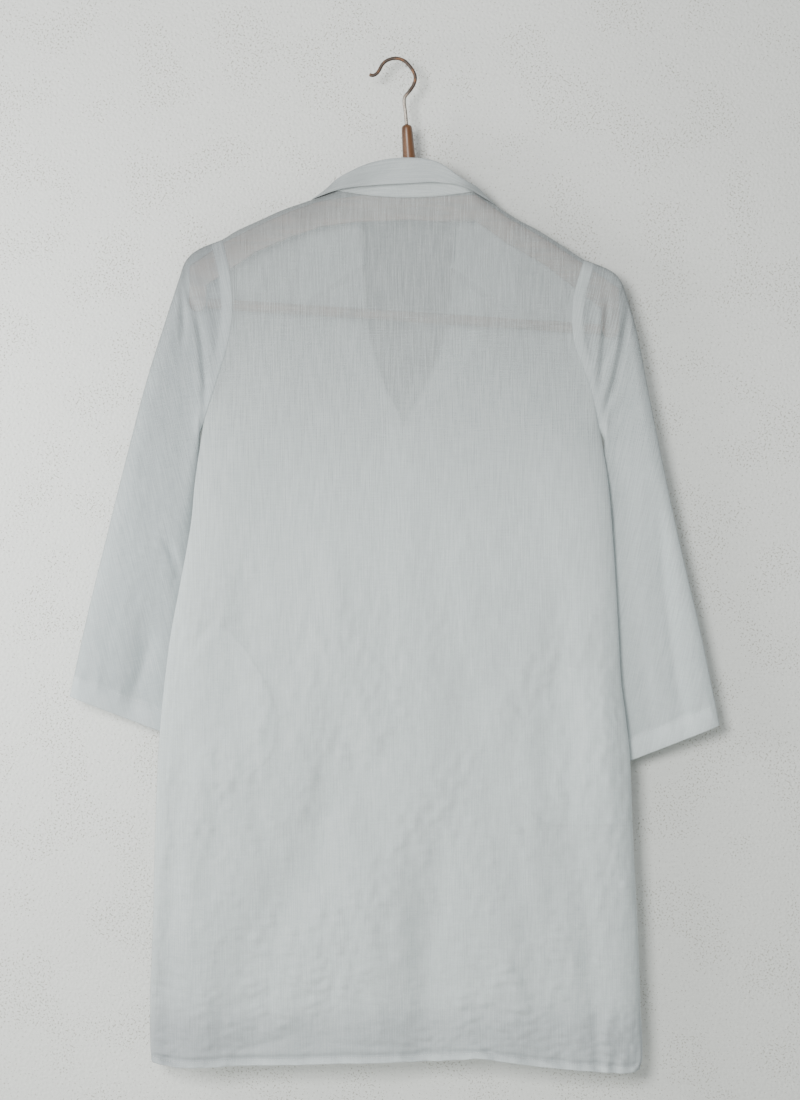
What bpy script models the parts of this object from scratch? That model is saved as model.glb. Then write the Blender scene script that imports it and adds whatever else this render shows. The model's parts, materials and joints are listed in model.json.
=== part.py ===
"""Linen tunic top on a wooden hanger, hung by the hanger's wire hook.

Millimetres in the tables, metres in the meshes. +Z is up, the back of the tunic faces -Y and its
front +Y. The origin is the underside of the hook's arc, where a nail or peg carries the whole thing.
"""
import math
from collections import namedtuple

import bpy
import bmesh

MM = 0.001
LEFT, RIGHT = 0, 1
BACK, FRONT = -1, 1

# Cloth: a wall on each side of its middle surface, and the room between neighbours.
WALL = 1.2
SEAM_GAP = 0.3
SEAM_HALF = 0.4
LAID_ON = WALL + SEAM_GAP + 0.5

# Body of the tunic, seen from behind: where each side edge lies at each height.
Side = namedtuple("Side", "z left right")
SIDES = (
    Side(-1008, -241, 242), Side(-996, -245, 245), Side(-940, -246, 243), Side(-860, -243, 240),
    Side(-780, -241, 236), Side(-700, -238, 233), Side(-660, -235, 229), Side(-620, -231, 224),
    Side(-574, -225, 221.5), Side(-526, -216, 219), Side(-465, -205, 215), Side(-420, -200.5, 211),
    Side(-365, -193, 203), Side(-340, -190, 200),
)

# Hem line, left to right.
Hem = namedtuple("Hem", "x z")
HEM = (
    Hem(-243, -1000), Hem(-216, -1003.5), Hem(-156, -1002), Hem(-96, -1001), Hem(-36, -999),
    Hem(24, -998), Hem(66, -996), Hem(84, -994.5), Hem(102, -997), Hem(144, -1003),
    Hem(189, -1007), Hem(234, -1010), Hem(243, -1008),
)

# Top of the shoulders, and over the neck the line that the rounding of the back and front starts from.
Ridge = namedtuple("Ridge", "x z")
RIDGE = (
    Ridge(-200, -192), Ridge(-174, -180), Ridge(-159, -171), Ridge(-135, -160), Ridge(-114, -150.5),
    Ridge(-84, -140), Ridge(-74, -136.5), Ridge(-63, -131), Ridge(-50, -120), Ridge(-25, -108),
    Ridge(9, -104), Ridge(43, -108), Ridge(68, -120), Ridge(81, -132), Ridge(87, -138),
    Ridge(106, -150), Ridge(122, -160), Ridge(141, -170), Ridge(165, -185), Ridge(188, -200),
    Ridge(210, -210),
)
SHOULDER_ROLL = 14.0

# Corners of the panels: end of the shoulder seam, neck end of the shoulder seam, underarm.
SHOULDER_END = ((-174.0, -180.0), (188.0, -200.0))
NECK_POINT = ((-63.0, -131.0), (81.0, -132.0))
UNDERARM = ((-193.0, -365.0), (203.0, -369.0))
BACK_NECK_DROP = 7.5

# How far the armhole seam is scooped into the body from the straight line between its ends.
Scoop = namedtuple("Scoop", "along left right")
ARMHOLE_SCOOP = (
    Scoop(0, 0, 0), Scoop(0.13, 8.5, 9), Scoop(0.24, 13.8, 15), Scoop(0.37, 17.8, 18),
    Scoop(0.50, 18, 17.6), Scoop(0.60, 15.8, 12.8), Scoop(0.70, 11.8, 7.8), Scoop(0.80, 8, 4.2),
    Scoop(0.90, 4, 1.8), Scoop(1, 0, 0),
)
FRONT_EXTRA_SCOOP = 5.0
ARMHOLE_HALF_DEPTH = 9.5

# Edges of the open front neck, from the shoulder seam down to the point of the V.
Opening = namedtuple("Opening", "z left right")
FRONT_OPENING = (
    Opening(-362, 7, 7), Opening(-350, 0, 16), Opening(-330, -11, 29), Opening(-300, -21, 41),
    Opening(-270, -28, 49), Opening(-240, -31, 54), Opening(-190, -34, 58.5), Opening(-165, -35, 59.5),
    Opening(-152, -38, 61), Opening(-142, -44, 65), Opening(-136, -52, 72), Opening(-131, -63, 81),
)
V_POINT = (7.0, -362.0)
HEM_CENTRE_X = -2.0

# Half the thickness of the hung body at each height, behind and in front of the hanger's plane.
Depth = namedtuple("Depth", "z back front")
DEPTHS = (
    Depth(-1010, 22, 20), Depth(-780, 19, 17), Depth(-560, 15.5, 15), Depth(-365, 13.5, 14),
    Depth(-245, 12.5, 13), Depth(-140, 12.5, 12), Depth(-100, 12, 11),
)
SIDE_REACH = 60.0
ARMHOLE_REACH = 75.0
SIDE_LEAN = -6.0
LEAN_REACH = 90.0
LEAN_FULL_Z, LEAN_RUN = -440.0, 75.0

# Large folds. A fold runs from its top to its bottom, bows sideways between, and is a trough where
# its height is negative and a ridge where it is positive, measured out of the cloth.
Fold = namedtuple("Fold", "face x_top z_top x_bottom z_bottom bow width height")
BODY_FOLDS = (
    Fold(BACK, -206, -640, -236, -1010, -8, 15, -4.5),
    Fold(BACK, -194, -780, -192, -1010, 3, 20, 3),
    Fold(BACK, -46, -610, -168, -940, 26, 27, -5.5),
    Fold(BACK, -20, -760, -34, -1010, 4, 34, 4.5),
    Fold(BACK, 46, -700, 32, -1010, -4, 20, -5),
    Fold(BACK, 100, -800, 112, -1010, 4, 28, 3),
    Fold(BACK, 170, -480, 161, -750, -3, 20, -4.5),
    Fold(BACK, 161, -700, 204, -1010, 8, 18, -4),
    Fold(BACK, 207, -590, 212, -780, 2, 18, 3),
    Fold(FRONT, -150, -520, -182, -1010, -6, 24, -5.5),
    Fold(FRONT, -92, -640, -106, -1010, 5, 26, 4),
    Fold(FRONT, -46, -720, -40, -1010, -3, 20, -4.5),
    Fold(FRONT, 62, -640, 74, -1010, 4, 23, -5.5),
    Fold(FRONT, 118, -560, 136, -1010, 5, 25, 4),
    Fold(FRONT, 168, -620, 196, -1010, -5, 18, -4.5),
)
SLEEVE_FOLDS = (
    Fold(BACK, -246, -540, -270, -680, 3, 14, -4),
    Fold(BACK, 258, -400, 292, -700, -7, 15, -4),
    Fold(FRONT, -262, -420, -284, -690, 4, 16, -4.5),
    Fold(FRONT, 246, -440, 262, -720, -4, 16, -4),
)
FOLD_FADE = 24.0

# Sleeves: rings fan from the armhole to the cuff, between an outer and an inner edge.
Ring = namedtuple("Ring", "along outer_x outer_z inner_x inner_z half_depth tuck")
SLEEVE_RINGS = (
    (
        Ring(0.00, -174, -180, -193.4, -365.6, 9.5, 0), Ring(0.06, -198, -190, -197.0, -377, 10, 2),
        Ring(0.11, -210, -201, -197.2, -388, 10, 4.5), Ring(0.17, -217, -220, -198.0, -402, 10, 7.5),
        Ring(0.26, -230, -260, -200.5, -427, 10, 10.5), Ring(0.38, -249, -320, -203.5, -463, 9.5, 13),
        Ring(0.52, -270, -400, -208.0, -515, 9, 14), Ring(0.68, -290, -480, -212.0, -570, 8.5, 15),
        Ring(0.84, -309.5, -560, -214.5, -625, 8, 15.5), Ring(1.00, -326, -636, -216.5, -679, 7.5, 16),
    ),
    (
        Ring(0.00, 188, -200, 203.4, -369.6, 9.5, 0), Ring(0.06, 213, -210, 208.2, -381, 10, 2),
        Ring(0.11, 224, -220, 208.4, -392, 10, 4.5), Ring(0.17, 231, -238, 209.4, -407, 10, 7.5),
        Ring(0.26, 241, -273, 211.8, -434, 10, 10.5), Ring(0.38, 252, -330, 213.5, -476, 9.5, 13),
        Ring(0.52, 266, -400, 211.5, -531, 9, 14), Ring(0.68, 283, -480, 209.5, -590, 8.5, 15),
        Ring(0.84, 304, -570, 210.5, -650, 8, 15.5), Ring(1.00, 323.5, -665, 213.5, -709, 7.5, 16),
    ),
)
SLEEVE_OUTER_REACH = 26.0
SLEEVE_INNER_REACH = 30.0
SCOOP_FADE = 0.22
UNDERARM_ROOM = 1.0

# Where the grids of the panels and sleeves have their lines.
ARMHOLE_STEPS = (0, 0.005, 0.025, 0.06, 0.14, 0.25, 0.38, 0.52, 0.66, 0.79, 0.90, 0.97, 0.993, 1)
SLEEVE_STEPS = (0, 0.03, 0.07, 0.11, 0.16, 0.22, 0.30, 0.39, 0.48, 0.57, 0.66, 0.75, 0.84, 0.92, 1)
BODY_ROWS_BELOW_ARM = 15
BACK_SHOULDER_STEPS = (0, 0.005, 0.026, 0.072, 0.16, 0.29, 0.45, 0.63, 0.81, 1)
BACK_NECK_COLUMNS = 10
FRONT_STEPS = (0, 0.003, 0.016, 0.045, 0.10, 0.18, 0.27, 0.37, 0.47, 0.58, 0.69, 0.80, 0.90, 1)

# Collar: where its stand is sewn on, its fold and its outer edge, from the left front round the back.
# The seam runs down the left front from 0 to -1, along the back neck from 0 to 1, and down the
# right front from 1 to 2. An edge with no depth of its own lies on the front.
Section = namedtuple("Section", "seam fold_x fold_y fold_z edge_x edge_y edge_z")
COLLAR = (
    Section(-1.00, -31, 18, -203, -95, None, -243), Section(-0.78, -32, 18.5, -187, -97, None, -217),
    Section(-0.52, -34, 19, -165, -97, None, -188), Section(-0.25, -42, 19.5, -142, -93, None, -161),
    Section(-0.10, -53, 17, -131, -88, 11.5, -145.5), Section(-0.04, -60, 13.5, -127.5, -84, 7, -139.3),
    Section(0.00, -64, 0, -126.2, -81, 0, -136.2),
    Section(0.10, -51, -16, -117.5, -54, -19, -129.4), Section(0.28, -24, -18, -105.5, -24, -21.5, -127.6),
    Section(0.50, 7, -18.5, -100.8, 9, -22.5, -126), Section(0.72, 39, -18, -104.5, 41, -21.5, -124.6),
    Section(0.90, 67, -16, -122, 69, -19, -127.6), Section(1.00, 80, 0, -128.6, 96, 0, -140.8),
    Section(1.04, 77, 13.5, -130, 100, 7, -144.3), Section(1.10, 71, 17, -132.5, 105, 11.5, -151.5),
    Section(1.25, 64, 19.5, -144, 114, None, -168),
    Section(1.52, 59, 19, -168, 121, None, -194), Section(1.78, 57, 18.5, -189, 122, None, -222),
    Section(2.00, 55, 18, -207, 119, None, -251),
)
COLLAR_END = (-204.0, -208.0)
COLLAR_ROWS_BETWEEN = 2
STAND_BELOW_FOLD = 2.2
NECK_LIFT = 0.5
NECK_POINT_LIFT = 0.8
LEAF_CREST = 1.5

# Turned-out edges of the front opening, from the collar down to the point of the V.
Lapel = namedtuple("Lapel", "roll_z left_x left_z right_x right_z")
LAPELS = (
    Lapel(-214, -66, -230, 92, -240), Lapel(-238, -64, -253, 88, -260), Lapel(-264, -58, -281, 79, -286),
    Lapel(-292, -46, -306, 66, -309), Lapel(-320, -29, -330, 47, -332), Lapel(-343, -10, -348, 25, -349),
    Lapel(-355, 0, -357, 13, -357.5),
)
LAPEL_STEPS = (0.0, 0.33, 0.66, 1.0)
ROLL_OUT = 1.35
LAPEL_ROLL_OUT = 1.9

# Placket strip on the front, and the pocket bags that hang inside it from the side seams.
PLACKET_HALF_WIDTH = 13.5
PLACKET_TOP, PLACKET_BOTTOM = -366.0, -755.0
PLACKET_X_TOP, PLACKET_X_BOTTOM = 4.0, -1.0
PLACKET_ROWS, PLACKET_COLUMNS = 10, 3
Bag = namedtuple("Bag", "below_top width")
POCKET_BAG = (Bag(0, 52), Bag(30, 82), Bag(85, 114), Bag(130, 112), Bag(158, 84))
POCKET_TOP = (-566.0, -608.0)
POCKET_INSET = 14.0
POCKET_ROWS, POCKET_COLUMNS = 8, 4
POCKET_THICKNESS = 2.0

# Hanger: flat wooden arms with a lobe at each end, a dowel between the lobes, a turned neck and a hook.
ARM_DROP = 4.4
ARM_HEIGHT = 26.0
ARM_THICKNESS = 11.0
ARM_EDGE_ROUND = 4.6
ARM_STATIONS = (-174, -140, -105, -75, -40, 45, 80, 110, 150, 188)
ARM_CENTRE = (13.0, -128.5)
ARM_CENTRE_HALF = 14.0
ARM_TIP = ((-206.0, -206.0), (223.0, -229.0))
LOBE_WIDTH = 18.0
BAR_END = ((-189.0, -243.5), (205.5, -269.5))
BAR_DIAMETER = 11.0
BAR_END_GAP = 0.7
LOBE_BELOW_BAR = 9.0
LOBE_ARC_STEPS = 6
NECK_TOP = (10.6, -64.8)
NECK_FOOT = (15.4, -128.0)
Turned = namedtuple("Turned", "share radius")
NECK_PROFILE = (
    Turned(0.0, 2.6), Turned(0.015, 4.2), Turned(0.045, 5.1), Turned(0.12, 5.5), Turned(0.30, 5.9),
    Turned(0.55, 6.5), Turned(0.80, 7.2), Turned(1.0, 7.6),
)
NECK_SIDES = 20
HOOK_WIRE = 3.5
HOOK_FOOT_GAP = 0.3
Wire = namedtuple("Wire", "x z")
HOOK = (
    Wire(-26.7, -14.6), Wire(-23.0, -15.4), Wire(-19.0, -13.3), Wire(-16.2, -9.2), Wire(-13.4, -4.2),
    Wire(-8.2, -0.1), Wire(0.0, 1.75), Wire(7.8, -0.6), Wire(13.6, -6.0), Wire(17.8, -12.4),
    Wire(19.3, -17.8), Wire(18.0, -24.2), Wire(13.5, -31.2), Wire(9.3, -36.3), Wire(8.2, -42.0),
    Wire(9.4, -52.0), Wire(10.5, -64.0),
)

LINEN = (0.80, 0.81, 0.80)
LINEN_DOUBLE = (0.86, 0.87, 0.86)
WOOD = (0.34, 0.15, 0.05)
IRON = (0.10, 0.085, 0.075)


def read(table, column, at):
    """Value of a column at a place along the table's first column, on a smooth curve."""
    rows = sorted(table, key=lambda row: row[0])
    keys = [row[0] for row in rows]
    values = [getattr(row, column) for row in rows]
    if at <= keys[0]:
        return values[0]
    if at >= keys[-1]:
        return values[-1]
    spot = max(i for i in range(len(keys) - 1) if keys[i] <= at)

    def slope(i):
        before, after = max(i - 1, 0), min(i + 1, len(keys) - 1)
        return (values[after] - values[before]) / (keys[after] - keys[before])

    span = keys[spot + 1] - keys[spot]
    t = (at - keys[spot]) / span
    return (
        (2 * t**3 - 3 * t**2 + 1) * values[spot] + (t**3 - 2 * t**2 + t) * span * slope(spot)
        + (3 * t**2 - 2 * t**3) * values[spot + 1] + (t**3 - t**2) * span * slope(spot + 1)
    )


def mix(a, b, t):
    return a + (b - a) * t


def between(before, start, end, after, t):
    """Smooth value between start and end that heads as their neighbours do."""
    return 0.5 * (2 * start + (end - before) * t + (2 * before - 5 * start + 4 * end - after) * t**2
                  + (3 * start - before - 3 * end + after) * t**3)


def mix_points(p, q, t):
    return tuple(mix(a, b, t) for a, b in zip(p, q))


def ease(t):
    t = min(max(t, 0.0), 1.0)
    return t * t * (3 - 2 * t)


def quarter_round(distance, reach):
    """0 at an edge and 1 from the reach inward, as a quarter of an ellipse."""
    t = min(max(distance / reach, 0.0), 1.0)
    return math.sqrt(1 - (1 - t) ** 2)


def side_name(side):
    return "left" if side == LEFT else "right"


def armhole(side, along, face):
    """Point (x, z) of the armhole seam, from the shoulder end at 0 to the underarm at 1."""
    x, z = mix_points(SHOULDER_END[side], UNDERARM[side], along)
    scoop = read(ARMHOLE_SCOOP, side_name(side), along)
    if face == FRONT:
        scoop += FRONT_EXTRA_SCOOP * math.sin(math.pi * along)
    return x + (scoop if side == LEFT else -scoop), z


def side_edge(side, z, face):
    """Edge x of the body at a height, and how far up the armhole that is (below it: nothing)."""
    top, bottom = SHOULDER_END[side][1], UNDERARM[side][1]
    if z <= bottom:
        return read(SIDES, side_name(side), z), None
    along = min(max((top - z) / (top - bottom), 0.0), 1.0)
    return armhole(side, along, face)[0], along


def fold_height(folds, x, z, face):
    """How far the large folds lift the cloth out of its plain form."""
    height = 0.0
    for fold in folds:
        if fold.face != face:
            continue
        run_x, run_z = fold.x_bottom - fold.x_top, fold.z_bottom - fold.z_top
        length = math.hypot(run_x, run_z)
        along = ((x - fold.x_top) * run_x + (z - fold.z_top) * run_z) / length**2
        if not -0.05 < along < 1.05:
            continue
        aside = ((x - fold.x_top) * -run_z + (z - fold.z_top) * run_x) / length
        aside -= fold.bow * math.sin(math.pi * min(max(along, 0), 1))
        taper = ease(along / 0.35) if fold.z_bottom <= -1000 else ease(along / 0.3) * ease((1 - along) / 0.3)
        height += fold.height * math.exp(-((aside / fold.width) ** 2)) * taper
    return height


def body_y(x, z, face):
    """Depth of the middle surface of the back or front at a point (x, z)."""
    full = read(DEPTHS, "back" if face == BACK else "front", z)
    spread = 1.0
    near = 1e9
    for side in (LEFT, RIGHT):
        edge, along = side_edge(side, z, face)
        inward = (x - edge) if side == LEFT else (edge - x)
        near = min(near, inward)
        rounded = quarter_round(inward, SIDE_REACH)
        if along is None:
            spread *= rounded
        else:
            held = ARMHOLE_HALF_DEPTH / full * math.sqrt(max(1 - along**4, 0.0))
            flat = mix(rounded, ease(inward / ARMHOLE_REACH), ease((1 - along) / 0.25))
            spread *= held + (1 - held) * flat
    down = (read(RIDGE, "z", x) - z) * 0.93
    roll = quarter_round(down, SHOULDER_ROLL)
    lean_share = 1 - ease((z - LEAN_FULL_Z) / LEAN_RUN)
    lean = SIDE_LEAN * lean_share * (1 - ease(near / LEAN_REACH))
    crease = fold_height(BODY_FOLDS, x, z, face) * ease(near / FOLD_FADE)
    return lean + face * (SEAM_HALF + full * spread * roll + crease)


def sleeve_ring(side, along):
    rows = SLEEVE_RINGS[side]
    return Ring(along, *(read(rows, name, along) for name in Ring._fields[1:]))


def sleeve_point(side, along, across, face):
    """Middle surface of a sleeve: along from armhole to cuff, across from its outer to its inner edge."""
    ring = sleeve_ring(side, along)
    outer, inner = (ring.outer_x, ring.outer_z), (ring.inner_x, ring.inner_z)
    x, z = mix_points(outer, inner, across)
    scoop_x = armhole(side, across, face)[0] - mix_points(SHOULDER_END[side], UNDERARM[side], across)[0]
    x += scoop_x * max(1 - along / SCOOP_FADE, 0.0) ** 2
    width = math.dist(outer, inner)
    rounded = (quarter_round(across * width, SLEEVE_OUTER_REACH)
               * quarter_round((1 - across) * width, SLEEVE_INNER_REACH))
    seam_x, seam_z = armhole(side, across, face)
    down = (read(RIDGE, "z", seam_x) - seam_z) * 0.93
    at_seam = ARMHOLE_HALF_DEPTH * math.sqrt(max(1 - across**4, 0.0)) * quarter_round(down, SHOULDER_ROLL)
    half = mix(at_seam, ring.half_depth * rounded, ease(along / 0.15))
    near = min(across, 1 - across) * width
    crease = fold_height(SLEEVE_FOLDS, x, z, face) * ease(near / FOLD_FADE) * ease(along / 0.2)
    return x, ring.tuck * across**1.5 + face * (half + crease), z


def material(name, colour, roughness, metallic=0.0):
    made = bpy.data.materials.new(name)
    made.use_nodes = True
    shader = made.node_tree.nodes["Principled BSDF"]
    shader.inputs["Base Color"].default_value = (*colour, 1.0)
    shader.inputs["Roughness"].default_value = roughness
    shader.inputs["Metallic"].default_value = metallic
    return made


def place(name, mesh, finish, collection):
    thing = bpy.data.objects.new(name, mesh)
    thing.data.materials.clear()
    thing.data.materials.append(finish)
    collection.objects.link(thing)
    return thing


def sheet_mesh(name, grids, closed=False):
    """Open surface through one or more grids of points (rows of (x, y, z) in millimetres)."""
    bm = bmesh.new()
    for grid in grids:
        rows = [[bm.verts.new([c * MM for c in point]) for point in row] for row in grid]
        for lower, upper in zip(rows, rows[1:]):
            count = len(lower)
            for i in range(count if closed else count - 1):
                j = (i + 1) % count
                bm.faces.new((lower[i], lower[j], upper[j], upper[i]))
    bmesh.ops.remove_doubles(bm, verts=bm.verts, dist=0.00001)
    bmesh.ops.recalc_face_normals(bm, faces=bm.faces)
    mesh = bpy.data.meshes.new(name)
    bm.to_mesh(mesh)
    bm.free()
    mesh.shade_smooth()
    return mesh


def cloth(name, grids, finish, collection, closed=False, thickness=WALL):
    """Piece of cloth: the surface through the grids, with a wall centred on it."""
    thing = place(name, sheet_mesh(name, grids, closed), finish, collection)
    wall = thing.modifiers.new("wall", "SOLIDIFY")
    wall.thickness = thickness * MM
    wall.offset = 0.0
    wall.use_even_offset = True
    wall.use_rim = True
    return thing


def body_rows():
    """Rows of the panels from hem to shoulder, as (share below the underarm, share up the armhole)."""
    below = [(i / BODY_ROWS_BELOW_ARM, None) for i in range(BODY_ROWS_BELOW_ARM)]
    return below + [(1.0, along) for along in reversed(ARMHOLE_STEPS)]


def edge_point(side, row, face):
    share, along = row
    if along is not None:
        return armhole(side, along, face)
    hem = HEM[0] if side == LEFT else HEM[-1]
    z = mix(hem.z, UNDERARM[side][1], share)
    return read(SIDES, side_name(side), z), z


def blend_patch(bottom, top, left, right, column, row):
    """Point inside four edges, where left and right are the row's own end points."""
    ruled = mix_points(bottom, top, row)
    left_gap = [a - b for a, b in zip(left[0], mix_points(left[1], left[2], row))]
    right_gap = [a - b for a, b in zip(right[0], mix_points(right[1], right[2], row))]
    return tuple(p + mix(a, b, column) for p, a, b in zip(ruled, left_gap, right_gap))


def row_share(row, face):
    """How far up the panel a row lies, between hem and shoulder."""
    shares = []
    for side in (LEFT, RIGHT):
        low = (HEM[0] if side == LEFT else HEM[-1]).z
        high = SHOULDER_END[side][1]
        shares.append((edge_point(side, row, face)[1] - low) / (high - low))
    return sum(shares) / 2


def back_neck(share):
    x, z = mix_points(NECK_POINT[LEFT], NECK_POINT[RIGHT], share)
    return x, z - BACK_NECK_DROP * (1 - (2 * share - 1) ** 2)


def back_columns():
    """Top edge of the back from the left shoulder over the neck to the right shoulder."""
    points = []
    for share in BACK_SHOULDER_STEPS:
        x = mix(SHOULDER_END[LEFT][0], NECK_POINT[LEFT][0], share)
        points.append((x, read(RIDGE, "z", x)))
    points += [back_neck(i / BACK_NECK_COLUMNS) for i in range(1, BACK_NECK_COLUMNS)]
    for share in reversed(BACK_SHOULDER_STEPS):
        x = mix(SHOULDER_END[RIGHT][0], NECK_POINT[RIGHT][0], share)
        points.append((x, read(RIDGE, "z", x)))
    return points


def back_grid():
    tops = back_columns()
    first, last = tops[0], tops[-1]
    grid = []
    for row in body_rows():
        height = row_share(row, BACK)
        left, right = edge_point(LEFT, row, BACK), edge_point(RIGHT, row, BACK)
        line = []
        for top in tops:
            column = (top[0] - first[0]) / (last[0] - first[0])
            hem_x = mix(HEM[0].x, HEM[-1].x, column)
            bottom = (hem_x, read(HEM, "z", hem_x))
            x, z = blend_patch(bottom, top, (left, HEM[0], first), (right, HEM[-1], last), column, height)
            line.append((x, body_y(x, z, BACK), z))
        grid.append(line)
    return grid


def front_grid(side):
    """Half of the front, from the side seam and armhole to the centre and the open neck edge."""
    corner = HEM[0] if side == LEFT else HEM[-1]
    centre = (HEM_CENTRE_X, read(HEM, "z", HEM_CENTRE_X))
    grid = []
    for row in body_rows():
        share, along = row
        height = row_share(row, FRONT)
        edge = edge_point(side, row, FRONT)
        if along is None:
            inner = mix_points(centre, V_POINT, share)
        else:
            z = mix(NECK_POINT[side][1], V_POINT[1], along)
            inner = (read(FRONT_OPENING, side_name(side), z), z)
        line = []
        for column in FRONT_STEPS:
            top_x = mix(SHOULDER_END[side][0], NECK_POINT[side][0], column)
            top = (top_x, read(RIDGE, "z", top_x))
            hem_x = mix(corner.x, centre[0], column)
            bottom = (hem_x, read(HEM, "z", hem_x))
            outer_end = (edge, corner, SHOULDER_END[side])
            inner_end = (inner, centre, NECK_POINT[side])
            x, z = blend_patch(bottom, top, outer_end, inner_end, column, height)
            line.append((x, body_y(x, z, FRONT), z))
        grid.append(line if side == LEFT else line[::-1])
    return grid


def sleeve_grid(side):
    """Closed rings: down the back of the sleeve and up its front."""
    grid = []
    for along in SLEEVE_STEPS:
        ring = [sleeve_point(side, along, across, BACK) for across in ARMHOLE_STEPS]
        ring += [sleeve_point(side, along, across, FRONT) for across in reversed(ARMHOLE_STEPS[1:-1])]
        away = (-1 if side == LEFT else 1) * (1 - ease(along / 0.06))
        steps = ARMHOLE_STEPS + ARMHOLE_STEPS[-2:0:-1]
        grid.append([
            (x + away * (SEAM_GAP + SEAM_HALF + UNDERARM_ROOM * ease((step - 0.7) / 0.3)), y, z)
            for (x, y, z), step in zip(ring, steps)
        ])
    return grid


def on_front(x, z, lift):
    return x, body_y(x, z, FRONT) + lift, z


def opening_edge(side, z, lift_out, lift_up):
    """Point beside the edge of the open front neck: square out into the opening and off the cloth."""
    name = side_name(side)
    x = read(FRONT_OPENING, name, z)
    slant = read(FRONT_OPENING, name, z + 1) - read(FRONT_OPENING, name, z - 1)
    length = math.hypot(slant, 2)
    toward = lift_out if side == LEFT else -lift_out
    return x + toward * 2 / length, body_y(x, z, FRONT) + lift_up, z - toward * slant / length


def collar_seam(along):
    """Point of the neck seam, where the collar's stand is sewn on."""
    if 0 <= along <= 1:
        x, z = back_neck(along)
        lift = NECK_LIFT + NECK_POINT_LIFT * abs(2 * along - 1) ** 4
        return x, body_y(x, z, BACK) if 0 < along < 1 else 0.0, z + lift
    side = LEFT if along < 0 else RIGHT
    down = -along if side == LEFT else along - 1
    z = mix(NECK_POINT[side][1], COLLAR_END[side], down)
    return opening_edge(side, z, ROLL_OUT, 0.0)


def collar_lines():
    """Seam, fold and edge of the collar at each of its rows, smoothed between the sections."""
    keyed = []
    for section in COLLAR:
        edge_y = section.edge_y
        if edge_y is None:
            edge_y = body_y(section.edge_x, section.edge_z, FRONT) + LAID_ON
        keyed.append((section.seam, section.fold_x, section.fold_y, section.fold_z,
                      section.edge_x, edge_y, section.edge_z))
    last = len(keyed) - 1
    rows = []
    for step in range(last * COLLAR_ROWS_BETWEEN + 1):
        i, part = divmod(step, COLLAR_ROWS_BETWEEN)
        ends = [keyed[min(max(i + j, 0), last)] for j in (-1, 0, 1, 2)]
        row = [between(*values, part / COLLAR_ROWS_BETWEEN) for values in zip(*ends)]
        rows.append((collar_seam(row[0]), tuple(row[1:4]), tuple(row[4:7])))
    return rows


def outward(fold, edge):
    """Level direction from a collar row's fold towards its outer edge."""
    dx, dy = edge[0] - fold[0], edge[1] - fold[1]
    length = max(math.hypot(dx, dy), 0.001)
    return dx / length, dy / length, 0.0


def moved(point, *steps):
    """Point moved by each (direction, distance)."""
    return tuple(c + sum(direction[i] * distance for direction, distance in steps)
                 for i, c in enumerate(point))


def stand_grid():
    grid = []
    for seam, fold, edge in collar_lines():
        top = moved(fold, (direction_to(fold, seam), STAND_BELOW_FOLD))
        grid.append([mix_points(seam, top, share) for share in (0.0, 0.35, 0.7, 1.0)])
    return grid


def direction_to(start, end):
    length = max(math.dist(start, end), 0.001)
    return tuple((b - a) / length for a, b in zip(start, end))


def leaf_grid():
    """Leaf of the collar: up over the fold and down to its outer edge."""
    grid = []
    for seam, fold, edge in collar_lines():
        out, rise = outward(fold, edge), direction_to(seam, fold)
        crest = moved(fold, (out, LEAF_CREST), (rise, 0.4))
        turned = moved(fold, (out, 2 * LEAF_CREST), (rise, -0.8))
        grid.append([fold, crest, turned] + [mix_points(turned, edge, share) for share in (0.34, 0.67, 1.0)])
    return grid


def lapel_grid(side):
    """Turned-out edge of the opening: round the front's edge and flat on its face."""
    grid = []
    for row in LAPELS:
        outer = (row.left_x, row.left_z) if side == LEFT else (row.right_x, row.right_z)
        start = opening_edge(side, row.roll_z, LAPEL_ROLL_OUT, 0.2)
        bend = opening_edge(side, row.roll_z, LAPEL_ROLL_OUT + 0.4, 1.5)
        edge = read(FRONT_OPENING, side_name(side), row.roll_z)
        line = [start, bend]
        for share in LAPEL_STEPS:
            x, z = mix_points((edge, row.roll_z), outer, share)
            line.append(on_front(x, z, LAID_ON + 0.2))
        grid.append(line)
    return grid


def placket_grid():
    grid = []
    for i in range(PLACKET_ROWS + 1):
        share = i / PLACKET_ROWS
        z = mix(PLACKET_TOP, PLACKET_BOTTOM, share)
        centre = mix(PLACKET_X_TOP, PLACKET_X_BOTTOM, share)
        line = []
        for j in range(PLACKET_COLUMNS + 1):
            x = centre + PLACKET_HALF_WIDTH * (2 * j / PLACKET_COLUMNS - 1)
            line.append(on_front(x, z, LAID_ON))
        grid.append(line)
    return grid


def pocket_grid(side):
    """Bag that hangs inside the front from the side seam."""
    deepest = POCKET_BAG[-1].below_top
    inward = 1 if side == LEFT else -1
    grid = []
    for i in range(POCKET_ROWS + 1):
        below = deepest * i / POCKET_ROWS
        z = POCKET_TOP[side] - below
        width = read(POCKET_BAG, "width", below)
        edge = read(SIDES, side_name(side), z)
        line = []
        for j in range(POCKET_COLUMNS + 1):
            x = edge + inward * mix(POCKET_INSET, width, j / POCKET_COLUMNS)
            line.append(on_front(x, z, -LAID_ON - POCKET_THICKNESS / 2))
        grid.append(line)
    return grid


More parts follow.
